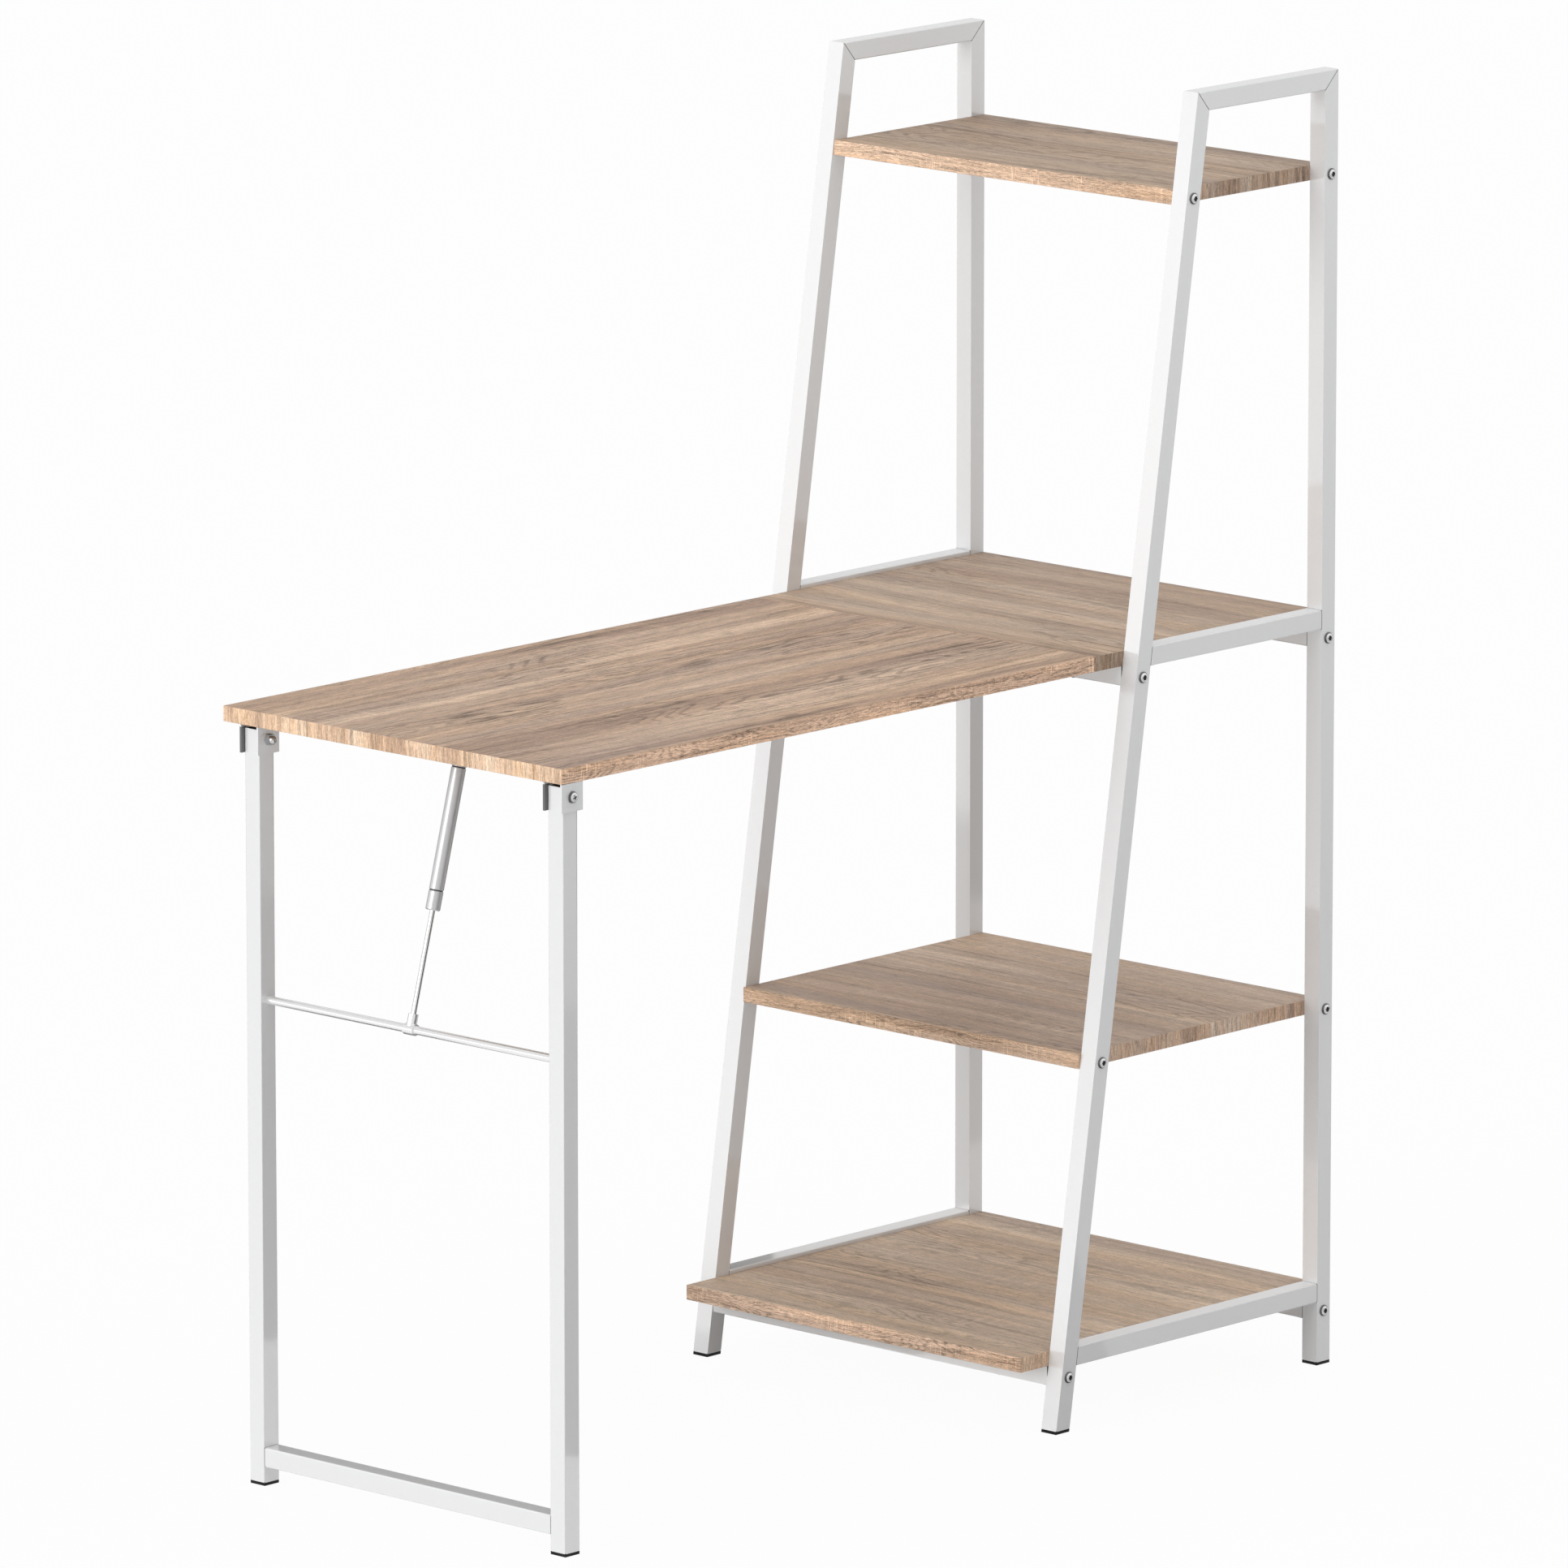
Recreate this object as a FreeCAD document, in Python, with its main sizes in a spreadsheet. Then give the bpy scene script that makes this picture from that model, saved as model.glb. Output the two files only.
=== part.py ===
import FreeCAD, Part
import math
import os
import Sketcher
from FreeCAD import Placement, Rotation, Vector

# A ladder shelf with a folding desk leaf, on the floor at z = 0.
# The leaf points to -X and the shelf's back is at +X. Near is the -Y side and far the +Y side.

doc = FreeCAD.newDocument("folding_desk")

# Driving dimensions in millimetres
driving = {
    "tube": 19,
    "tube_wall": 1.2,
    "frame_width": 480,
    "frame_height": 1283,
    "depth_floor": 401,
    "depth_top": 204,
    "panel": 15,
    "desk_height": 750,
    "top_shelf_drop": 94,
    "lower_shelf_height": 364,
    "bottom_shelf_height": 78.5,
    "shelf_nose": 40.5,
    "lower_shelf_nose": 2.5,
    "top_shelf_setback": 1.5,
    "leaf_length": 735,
    "seam_gap": 0.6,
    "foot_flange": 3,
    "foot_stem": 14,
    "plug_clearance": 0.1,
    "bolt_dia": 6,
    "bolt_head_dia": 11,
    "bolt_head": 3.5,
    "bolt_head_edge": 0.8,
    "bolt_grip": 14,
    "bolt_clearance": 0.25,
    "socket_key": 5,
    "socket_depth": 2,
    "insert_dia": 10,
    "insert_length": 18,
    "rail_plug": 20,
    "thread_clearance": 0.1,
    "rail_screw_dia": 4,
    "rail_screw_head": 8,
    "rail_screw_head_height": 2.5,
    "rail_screw_head_edge": 0.8,
    "rail_screw_bite": 10,
    "rail_screw_inset": 70,
    "screw_dia": 3.5,
    "screw_head": 6.6,
    "screw_bite": 10,
    "hinge_inset": 95,
    "hinge_length": 64,
    "hinge_plate": 1.5,
    "hinge_width": 26,
    "knuckle_dia": 6.5,
    "knuckle_length": 30,
    "hinge_pin_dia": 3.5,
    "hinge_drop": 3.5,
    "hinge_gap": 0.3,
    "hinge_screw_pitch": 22,
    "running_clearance": 0.05,
    "far_leg_inset": 22,
    "bracket_length": 28,
    "bracket_height": 27,
    "bracket_plate": 2,
    "bracket_clearance": 0.7,
    "bracket_notch": 8,
    "pivot_inset": 13.5,
    "pivot_drop": 13,
    "leg_top_gap": 3.5,
    "leg_corner": 5,
    "leg_plug": 4.6,
    "leg_rail_height": 18.5,
    "bush_dia": 9,
    "washer_dia": 11.6,
    "washer": 1,
    "pivot_head_dia": 10,
    "pivot_head": 3.4,
    "pivot_head_edge": 1.9,
    "nut_key": 10,
    "nut": 5,
    "nut_cap_dia": 8,
    "nut_cap": 4.5,
    "nut_cap_edge": 1,
    "nut_cap_gap": 0.5,
    "bolt_point": 1,
    "crossbar_dia": 8,
    "crossbar_drop": 251,
    "strut_reach": 69,
    "tee_dia": 11,
    "tee_length": 13,
    "tee_stub_dia": 9.5,
    "tee_stub": 14.5,
    "rod_dia": 5,
    "rod_exposed": 98.5,
    "collar_length": 18.5,
    "collar_groove": 1,
    "cylinder_dia": 14,
    "cylinder_wall": 1,
    "cylinder_end": 3,
    "spigot": 2,
    "seal": 3,
    "piston": 8,
    "piston_gap": 1.5,
    "rivet_dia": 3.5,
    "eye_neck": 4.2,
    "eye_length": 10.8,
    "eye_radius": 6,
    "eye_plate": 6,
    "eye_stud_dia": 5,
    "top_pin_dia": 7,
    "ear_clearance": 1,
    "open_pivot_gap": 0.3,
    "ear_plate": 2,
    "ear_width": 18,
    "top_plate_length": 44,
    "top_plate_width": 20,
    "top_screw_pitch": 30,
}

# Places worked out from the driving dimensions
worked_out = {
    "wall_share": "dims.tube_wall / dims.tube",
    "half_tube": "dims.tube / 2",
    "tube_bore": "dims.tube - 2 * dims.tube_wall",
    "lean_run": "(dims.depth_floor - dims.depth_top) / dims.frame_height",
    "post_slice": "dims.tube * sqrt(1 + lean_run * lean_run)",
    "half_width": "dims.frame_width / 2",
    "inner_y": "half_width - dims.tube",
    "inner_width": "dims.frame_width - 2 * dims.tube",
    "post_y": "half_width - half_tube",
    "desk_under": "dims.desk_height - dims.panel",
    "top_under": "dims.frame_height - dims.top_shelf_drop - dims.panel",
    "lower_under": "dims.lower_shelf_height - dims.panel",
    "bottom_under": "dims.bottom_shelf_height - dims.panel",
    "desk_bolt_z": "desk_under - half_tube",
    "top_bolt_z": "top_under + dims.panel / 2",
    "lower_bolt_z": "lower_under + dims.panel / 2",
    "bottom_bolt_z": "bottom_under - half_tube",
    "desk_depth": "dims.depth_floor - lean_run * (desk_under + dims.panel / 2) + dims.shelf_nose",
    "bottom_depth": "dims.depth_floor - lean_run * (bottom_under + dims.panel / 2) + dims.shelf_nose",
    "lower_depth": "dims.depth_floor - lean_run * lower_bolt_z + dims.lower_shelf_nose",
    "top_depth": "dims.depth_floor - lean_run * top_bolt_z - dims.top_shelf_setback",
    "overall_length": "desk_depth + dims.seam_gap + dims.leaf_length",
    "rear_x": "overall_length / 2",
    "leaf_end": "-rear_x",
    "post_foot_x": "rear_x - dims.depth_floor",
    "hinge_x": "rear_x - desk_depth - dims.seam_gap / 2",
    "hinge_z": "desk_under - dims.hinge_drop",
    "hinge_y": "inner_y - dims.hinge_inset",
    "rear_bolt_x": "rear_x - half_tube",
    "near_leg_y": "-inner_y + dims.bracket_plate + dims.bracket_clearance + half_tube",
    "far_leg_y": "inner_y - dims.far_leg_inset - dims.bracket_plate - dims.bracket_clearance - half_tube",
    "leg_x": "leaf_end + dims.pivot_inset",
    "pivot_z": "desk_under - dims.pivot_drop",
    "leg_top": "desk_under - dims.leg_top_gap",
    "leg_middle_y": "(near_leg_y + far_leg_y) / 2",
    "between_legs": "far_leg_y - near_leg_y - dims.tube",
    "bracket_width": "dims.tube + 2 * dims.bracket_clearance + 2 * dims.bracket_plate",
    "bracket_x": "leaf_end + dims.bracket_length / 2",
    "crossbar_z": "pivot_z - dims.crossbar_drop",
    "strut_lean": "atan(dims.strut_reach / dims.crossbar_drop)",
    "strut_span": "sqrt(dims.strut_reach * dims.strut_reach + dims.crossbar_drop * dims.crossbar_drop)",
    "strut_top_x": "leg_x + dims.strut_reach",
    "cylinder_bore": "dims.cylinder_dia / 2 - dims.cylinder_wall",
    "collar_start": "dims.tee_stub + dims.rod_exposed",
    "cylinder_start": "collar_start + dims.collar_length + dims.collar_groove",
    "cylinder_stop": "strut_span - dims.eye_length - dims.collar_groove",
    "seal_start": "cylinder_start + dims.spigot",
    "piston_start": "seal_start + dims.seal + dims.piston_gap",
    "ear_stand": "dims.cylinder_dia / 2 + dims.ear_clearance",
    "ear_y": "leg_middle_y + ear_stand + dims.open_pivot_gap",
}

# The long axis of a fastener, and the turns that lay it along Y
along_x = Vector(1, 0, 0)
along_y = Vector(0, 1, 0)
inward_near = (along_x, "-90")
inward_far = (along_x, "90")

nodes = []


def fill_sheet(name, cells, prefix):
    sheet = doc.addObject("Spreadsheet::Sheet", name)
    for row, (alias, content) in enumerate(cells.items(), start=1):
        sheet.set(f"A{row}", alias)
        sheet.set(f"B{row}", f"{prefix}{content}")
        sheet.setAlias(f"B{row}", alias)
    return sheet


dims = fill_sheet("dims", driving, "")
places = fill_sheet("places", worked_out, "=")
doc.recompute()


def number(expression):
    result = dims.evalExpression(expression)
    return result.Value if hasattr(result, "Value") else float(result)


def keep(item, label):
    item.Label = label
    nodes.append(item)
    return item


def place(item, x="0", y="0", z="0", axis=along_y, angle="0"):
    item.Placement = Placement(Vector(), Rotation(axis, number(angle)))
    item.setExpression("Placement.Base.x", x)
    item.setExpression("Placement.Base.y", y)
    item.setExpression("Placement.Base.z", z)
    if number(angle):
        item.setExpression("Placement.Rotation.Angle", angle)
    return item


# Sketches and the features made from them

def new_sketch(body, role):
    plane = [item for item in body.Origin.OriginFeatures if item.Role == role][0]
    sketch = body.newObject("Sketcher::SketchObject", "sketch")
    sketch.AttachmentSupport = [(plane, "")]
    sketch.MapMode = "FlatFace"
    return sketch


def bind(sketch, kind, geometry, point, expression):
    row = sketch.addConstraint(Sketcher.Constraint(kind, geometry, point, number(expression)))
    sketch.setExpression(f"Constraints[{row}]", expression)


def bind_radius(sketch, geometry, expression):
    row = sketch.addConstraint(Sketcher.Constraint("Radius", geometry, number(expression)))
    sketch.setExpression(f"Constraints[{row}]", expression)


def dome_arc(crown, edge, radius):
    # An arc from a crown on the axis, centred straight above it, out to the dome's edge
    centre = crown + Vector(0, radius, 0)
    edge_angle = math.atan2(edge.y - centre.y, edge.x - centre.x)
    return Part.ArcOfCircle(Part.Circle(centre, Vector(0, 0, 1), radius), -math.pi / 2, edge_angle)


def add_outline(sketch, corners, dome_radius=None):
    # Corners joined by straight lines, except that a dome's first side is an arc
    first = sketch.GeometryCount
    points = [Vector(number(across), number(up), 0) for across, up in corners]
    sides = [Part.LineSegment(point, points[(index + 1) % len(points)]) for index, point in enumerate(points)]
    if dome_radius:
        sides[0] = dome_arc(points[0], points[1], number(dome_radius))
    for side in sides:
        sketch.addGeometry(side, False)
    for index in range(len(points)):
        following = first + (index + 1) % len(points)
        sketch.addConstraint(Sketcher.Constraint("Coincident", first + index, 2, following, 1))
    for index, (across, up) in enumerate(corners):
        bind(sketch, "DistanceX", first + index, 1, across)
        bind(sketch, "DistanceY", first + index, 1, up)
    if dome_radius:
        bind_radius(sketch, first, dome_radius)


def add_circle(sketch, across, up, radius):
    centre = Vector(number(across), number(up), 0)
    circle = sketch.addGeometry(Part.Circle(centre, Vector(0, 0, 1), number(radius)), False)
    bind(sketch, "DistanceX", circle, 3, across)
    bind(sketch, "DistanceY", circle, 3, up)
    bind_radius(sketch, circle, radius)


def outline(body, role, *rings):
    sketch = new_sketch(body, role)
    for corners in rings:
        add_outline(sketch, corners)
    return sketch


def pad(body, sketch, length):
    feature = body.newObject("PartDesign::Pad", "pad")
    feature.Profile = sketch
    feature.SideType = "Symmetric"
    feature.setExpression("Length", length)
    return feature


def pocket(body, sketch, length):
    feature = body.newObject("PartDesign::Pocket", "pocket")
    feature.Profile = sketch
    feature.SideType = "Symmetric"
    feature.setExpression("Length", length)
    return feature


def drill(body, role, circles, length):
    sketch = new_sketch(body, role)
    for across, up, radius in circles:
        add_circle(sketch, across, up, radius)
    return pocket(body, sketch, length)


def rectangle(left, bottom, right, top):
    return [(left, bottom), (right, bottom), (right, top), (left, top)]


def centred(width, height):
    return rectangle(f"-({width}) / 2", f"-({height}) / 2", f"({width}) / 2", f"({height}) / 2")


def turned(name, profile, dome_radius=None):
    # A profile of radius and height pairs, turned about Z
    body = doc.addObject("PartDesign::Body", name)
    sketch = new_sketch(body, "XZ_Plane")
    add_outline(sketch, profile, dome_radius)
    feature = body.newObject("PartDesign::Revolution", "revolution")
    feature.Profile = sketch
    feature.ReferenceAxis = (sketch, ["V_Axis"])
    feature.Angle = 360
    return body


def ring_profile(inner, outer, low, high):
    return rectangle(inner, low, outer, high)


def domed_pin(name, head_dia, head, edge, shank):
    # A domed head below z = 0, and a shank above it given as radius and height pairs
    rise = f"({head} - {edge})"
    radius = f"{head_dia} / 2"
    dome_radius = f"({radius} * {radius} + {rise} * {rise}) / (2 * {rise})"
    profile = [("0", f"-{head}"), (radius, f"-{edge}"), (radius, "0"), *shank]
    return turned(name, profile, dome_radius)


# Primitives and booleans

def box(length, width, height, x, y, z):
    item = doc.addObject("Part::Box", "box")
    item.setExpression("Length", length)
    item.setExpression("Width", width)
    item.setExpression("Height", height)
    return place(item, x, y, z)


def cylinder(radius, height, x, y, z, axis=along_y, angle="0"):
    item = doc.addObject("Part::Cylinder", "cylinder")
    item.setExpression("Radius", radius)
    item.setExpression("Height", height)
    return place(item, x, y, z, axis, angle)


def joined(*items):
    item = doc.addObject("Part::MultiFuse", "joined")
    item.Shapes = list(items)
    return item


def cut(base, tool):
    item = doc.addObject("Part::Cut", "cut")
    item.Base = base
    item.Tool = tool
    return item


def compound(items):
    group = doc.addObject("Part::Compound", "group")
    group.Links = items
    return group


def copies(master, spots):
    # The same piece at several spots, each given as x, y, z and an optional turn
    links = []
    for spot in spots:
        link = doc.addObject("App::Link", "copy")
        link.LinkedObject = master
        links.append(place(link, *spot))
    return compound(links)


# Side frames of square tube

def share_point(line, share):
    (x0, z0), (x1, z1) = line
    return f"{x0} + ({x1} - ({x0})) * {share}", f"{z0} + ({z1} - ({z0})) * {share}"


def square_tube(label, start, finish, y, bolts=()):
    # A tube in the XZ plane between two end lines, each running from its first side to its second
    body = doc.addObject("PartDesign::Body", label)
    near_share = "places.wall_share"
    far_share = "(1 - places.wall_share)"
    outside = [start[0], finish[0], finish[1], start[1]]
    inside = [share_point(start, near_share), share_point(finish, near_share),
              share_point(finish, far_share), share_point(start, far_share)]
    pad(body, outline(body, "XZ_Plane", outside), "dims.tube")
    pocket(body, outline(body, "XZ_Plane", inside), "places.tube_bore")
    if bolts:
        radius = "dims.bolt_dia / 2 + dims.bolt_clearance"
        drill(body, "XZ_Plane", [(x, z, radius) for x, z in bolts], "2 * dims.tube")
    place(body, y=y)
    return keep(body, label)


def front_x(z):
    return f"places.post_foot_x + places.lean_run * ({z})"


def front_inner_x(z):
    return f"places.post_foot_x + places.post_slice + places.lean_run * ({z})"


def front_bolt_x(z):
    return f"places.post_foot_x + places.post_slice / 2 + places.lean_run * ({z})"


bolt_heights = ("places.top_bolt_z", "places.desk_bolt_z", "places.lower_bolt_z", "places.bottom_bolt_z")
front_bolts = [(front_bolt_x(z), z) for z in bolt_heights]
rear_bolts = [("places.rear_bolt_x", z) for z in bolt_heights]

frame_top = "dims.frame_height"
rail_under = "dims.frame_height - dims.tube"
rear_face = "places.rear_x"
rear_front_face = "places.rear_x - dims.tube"
foot_line = "dims.foot_flange"

rear_mitre = [(rear_face, frame_top), (rear_front_face, rail_under)]
front_mitre = [(front_x(frame_top), frame_top), (front_inner_x(rail_under), rail_under)]
rear_foot = [(rear_face, foot_line), (rear_front_face, foot_line)]
front_foot = [(front_x(foot_line), foot_line), (front_inner_x(foot_line), foot_line)]


def side_rail(label, under, y):
    top = f"{under} + dims.tube"
    start = [(front_inner_x(under), under), (front_inner_x(top), top)]
    finish = [(rear_front_face, under), (rear_front_face, top)]
    return square_tube(label, start, finish, y)


def foot_cap(label, left, right, y):
    # A plug with a flange as wide as the tube and a stem that fits its bore
    body = doc.addObject("PartDesign::Body", label)
    stem_top = "dims.foot_flange + dims.foot_stem"
    slack = "(dims.tube_wall + dims.plug_clearance)"
    flange = [(left("0"), "0"), (right("0"), "0"),
              (right(foot_line), foot_line), (left(foot_line), foot_line)]
    stem = [(f"{left(foot_line)} + {slack}", foot_line), (f"{right(foot_line)} - {slack}", foot_line),
            (f"{right(stem_top)} - {slack}", stem_top), (f"{left(stem_top)} + {slack}", stem_top)]
    pad(body, outline(body, "XZ_Plane", flange), "dims.tube")
    pad(body, outline(body, "XZ_Plane", stem), "places.tube_bore - 2 * dims.plug_clearance")
    place(body, y=y)
    return keep(body, label)


for side, middle_y in (("near", "-places.post_y"), ("far", "places.post_y")):
    square_tube(f"{side}_rear_post", rear_foot, rear_mitre, middle_y, rear_bolts)
    square_tube(f"{side}_front_post", front_foot, front_mitre, middle_y, front_bolts)
    square_tube(f"{side}_top_rail", front_mitre, rear_mitre, middle_y)
    side_rail(f"{side}_desk_side_rail", "places.desk_under", middle_y)
    side_rail(f"{side}_bottom_side_rail", "places.bottom_under", middle_y)
    foot_cap(f"{side}_rear_foot", lambda z: rear_front_face, lambda z: rear_face, middle_y)
    foot_cap(f"{side}_front_foot", front_x, front_inner_x, middle_y)


# Cross rails, with their end plugs and the screws that hold the boards on them

def cross_tube(label, length, x, y, z, screws=()):
    body = doc.addObject("PartDesign::Body", label)
    rings = (centred("dims.tube", "dims.tube"), centred("places.tube_bore", "places.tube_bore"))
    pad(body, outline(body, "XZ_Plane", *rings), length)
    if screws:
        radius = "dims.rail_screw_dia / 2 + dims.thread_clearance"
        drill(body, "XY_Plane", [("0", spot, radius) for spot in screws], "2 * dims.tube")
    place(body, x, y, z)
    return keep(body, label)


rail_screw_y = ("dims.rail_screw_inset - places.inner_y", "places.inner_y - dims.rail_screw_inset")
cross_rails = (
    ("desk_front_cross_rail", front_bolt_x("places.desk_bolt_z"), "places.desk_bolt_z"),
    ("desk_rear_cross_rail", "places.rear_bolt_x", "places.desk_bolt_z"),
    ("bottom_front_cross_rail", front_bolt_x("places.bottom_bolt_z"), "places.bottom_bolt_z"),
    ("bottom_rear_cross_rail", "places.rear_bolt_x", "places.bottom_bolt_z"),
)
for label, x, z in cross_rails:
    cross_tube(label, "places.inner_width", x, "0", z, rail_screw_y)

plug_block = doc.addObject("PartDesign::Body", "plug_block")
plug_width = "places.tube_bore - 2 * dims.plug_clearance"
pad(plug_block, outline(plug_block, "XY_Plane", centred(plug_width, plug_width)), "dims.rail_plug")
drill(plug_block, "XY_Plane", [("0", "0", "dims.bolt_dia / 2 + dims.thread_clearance")], "2 * dims.rail_plug")
plug_y = "places.inner_y - dims.rail_plug / 2"
plug_spots = [(x, f"-({plug_y})", z, *inward_near) for label, x, z in cross_rails]
plug_spots += [(x, plug_y, z, *inward_far) for label, x, z in cross_rails]
keep(copies(plug_block, plug_spots), "rail_end_plugs")

rail_shank = "dims.rail_screw_dia / 2"
rail_screw_head = ("dims.rail_screw_head", "dims.rail_screw_head_height", "dims.rail_screw_head_edge")
rail_screw = domed_pin("rail_screw", *rail_screw_head, [
    (rail_shank, "0"),
    (rail_shank, "dims.tube + dims.rail_screw_bite - dims.rail_screw_dia"),
    ("0", "dims.tube + dims.rail_screw_bite"),
])
rail_screw_spots = [(x, y, f"{z} - places.half_tube") for label, x, z in cross_rails for y in rail_screw_y]
keep(copies(rail_screw, rail_screw_spots), "rail_screws")


# Boards

def drill_set(radius, depth, spots):
    bit = doc.addObject("Part::Cylinder", "bit")
    bit.setExpression("Radius", radius)
    bit.setExpression("Height", depth)
    return copies(bit, spots)


def board(label, depth, x, under, holes):
    blank = box(depth, "places.inner_width", "dims.panel", x, "-places.inner_y", under)
    return keep(cut(blank, holes), label)


def edge_holes(z):
    xs = (front_bolt_x(z), "places.rear_bolt_x")
    spots = [(x, "-places.inner_y", z, *inward_near) for x in xs]
    spots += [(x, "places.inner_y", z, *inward_far) for x in xs]
    return drill_set("dims.insert_dia / 2 + dims.thread_clearance", "dims.insert_length", spots)


def screw_holes(under, spots):
    return drill_set("dims.screw_dia / 2 + dims.thread_clearance", "dims.screw_bite + dims.screw_dia",
                     [(x, y, under) for x, y in spots])


def rail_screw_holes(under, xs):
    spots = [(x, y, under) for x in xs for y in rail_screw_y]
    return drill_set("dims.rail_screw_dia / 2 + dims.thread_clearance", "dims.rail_screw_bite", spots)


hinge_sides = (("near", "-places.hinge_y"), ("far", "places.hinge_y"))
plate_middle = "dims.knuckle_dia / 2 + dims.hinge_gap + (dims.hinge_width - dims.knuckle_dia / 2) / 2"
hinge_screw_steps = ("-dims.hinge_screw_pitch", "0", "dims.hinge_screw_pitch")


def hinge_screw_spots(direction):
    x = f"places.hinge_x {direction} ({plate_middle})"
    return [(x, f"{y} + ({step})") for side, y in hinge_sides for step in hinge_screw_steps]


leg_sides = (("near", "places.near_leg_y"), ("far", "places.far_leg_y"))
bracket_web = "(dims.bracket_length - dims.bracket_notch)"
bracket_screw_x = [f"places.leaf_end + dims.bracket_notch + {bracket_web} * {share}"
                   for share in (0.25, 0.75)]
bracket_screw_spots = [(x, y) for side, y in leg_sides for x in bracket_screw_x]
top_plate_y = "places.ear_y + dims.ear_plate - dims.top_plate_width / 2"
top_screw_spots = [(f"places.strut_top_x {sign} dims.top_screw_pitch / 2", top_plate_y) for sign in "-+"]

board("top_shelf", "places.top_depth", "places.rear_x - places.top_depth", "places.top_under",
      edge_holes("places.top_bolt_z"))
board("lower_shelf", "places.lower_depth", "places.rear_x - places.lower_depth", "places.lower_under",
      edge_holes("places.lower_bolt_z"))
bottom_holes = rail_screw_holes("places.bottom_under", (cross_rails[2][1], cross_rails[3][1]))
board("bottom_shelf", "places.bottom_depth", "places.rear_x - places.bottom_depth", "places.bottom_under",
      bottom_holes)
desk_holes = joined(rail_screw_holes("places.desk_under", (cross_rails[0][1], cross_rails[1][1])),
                    screw_holes("places.desk_under", hinge_screw_spots("+")))
board("desk_shelf", "places.desk_depth", "places.rear_x - places.desk_depth", "places.desk_under", desk_holes)
leaf_screws = hinge_screw_spots("-") + bracket_screw_spots + top_screw_spots
board("folding_leaf", "dims.leaf_length", "places.leaf_end", "places.desk_under",
      screw_holes("places.desk_under", leaf_screws))


# Frame bolts with domed socket heads, and the threaded inserts in the board edges

bolt_radius = "dims.bolt_dia / 2"
frame_bolt = domed_pin("frame_bolt", "dims.bolt_head_dia", "dims.bolt_head", "dims.bolt_head_edge", [
    (bolt_radius, "0"),
    (bolt_radius, "dims.tube + dims.bolt_grip"),
    ("0", "dims.tube + dims.bolt_grip"),
])


def hexagon(key):
    # A hexagon with the given size across its flats
    corner = f"{key} / sqrt(3)"
    return [(f"{corner} * cos({turn})", f"{corner} * sin({turn})") for turn in range(0, 360, 60)]


def hex_socket(body, head):
    sketch = outline(body, "XY_Plane", hexagon("dims.socket_key"))
    sketch.setExpression("AttachmentOffset.Base.z", f"-{head}")
    return pocket(body, sketch, "2 * dims.socket_depth")


hex_socket(frame_bolt, "dims.bolt_head")
near_bolts = [(x, "-places.half_width", z, *inward_near) for x, z in front_bolts + rear_bolts]
far_bolts = [(x, "places.half_width", z, *inward_far) for x, z in front_bolts + rear_bolts]
keep(copies(frame_bolt, near_bolts), "near_frame_bolts")
keep(copies(frame_bolt, far_bolts), "far_frame_bolts")

edge_insert = turned("edge_insert", ring_profile(
    "dims.bolt_dia / 2 + dims.thread_clearance", "dims.insert_dia / 2", "0", "dims.insert_length"))
insert_rows = [spot for z in ("places.top_bolt_z", "places.lower_bolt_z")
               for spot in ((front_bolt_x(z), z), ("places.rear_bolt_x", z))]
insert_spots = [(x, "-places.inner_y", z, *inward_near) for x, z in insert_rows]
insert_spots += [(x, "places.inner_y", z, *inward_far) for x, z in insert_rows]
keep(copies(edge_insert, insert_spots), "board_edge_inserts")

# Hinges under the seam: plates with interleaved knuckles on one pin each

pin_bore = "dims.hinge_pin_dia / 2 + dims.running_clearance"
side_knuckle = "((dims.hinge_length - dims.knuckle_length) / 2 - dims.hinge_gap)"


def countersinks(spots, z, plate):
    tip = doc.addObject("Part::Cone", "countersink")
    tip.setExpression("Radius1", "dims.screw_head / 2 + dims.thread_clearance")
    tip.setExpression("Radius2", "dims.screw_dia / 2 + dims.thread_clearance")
    tip.setExpression("Height", plate)
    return copies(tip, [(x, y, z) for x, y in spots])


def hinge_plate(label, direction, y, knuckles, notches):
    # direction is + for the plate on the shelf and - for the plate on the leaf
    length = "(dims.hinge_width - dims.hinge_gap)"
    start = "places.hinge_x + dims.hinge_gap" if direction == "+" else "places.hinge_x - dims.hinge_width"
    under = "places.desk_under - dims.hinge_plate"
    plate = box(length, "dims.hinge_length", "dims.hinge_plate", start, f"{y} - dims.hinge_length / 2", under)
    room = "(dims.knuckle_dia / 2 + dims.hinge_gap)"
    notch_start = "places.hinge_x" if direction == "+" else f"places.hinge_x - {room}"
    gaps = [box(room, f"{width} + 2 * dims.hinge_gap", "dims.hinge_plate", notch_start,
                f"{y} + ({low}) - dims.hinge_gap", under) for low, width in notches]
    rolls = [cylinder("dims.knuckle_dia / 2", width, "places.hinge_x", f"{y} + ({low})", "places.hinge_z",
                      *inward_near) for low, width in knuckles]
    screws = [spot for spot in hinge_screw_spots(direction) if spot[1].startswith(f"{y} +")]
    notched = cut(plate, compound(gaps))
    bore = cylinder(pin_bore, "2 * dims.hinge_length", "places.hinge_x", f"{y} - dims.hinge_length",
                    "places.hinge_z", *inward_near)
    tools = joined(bore, countersinks(screws, under, "dims.hinge_plate"))
    return keep(cut(joined(notched, *rolls), tools), label)


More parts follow.
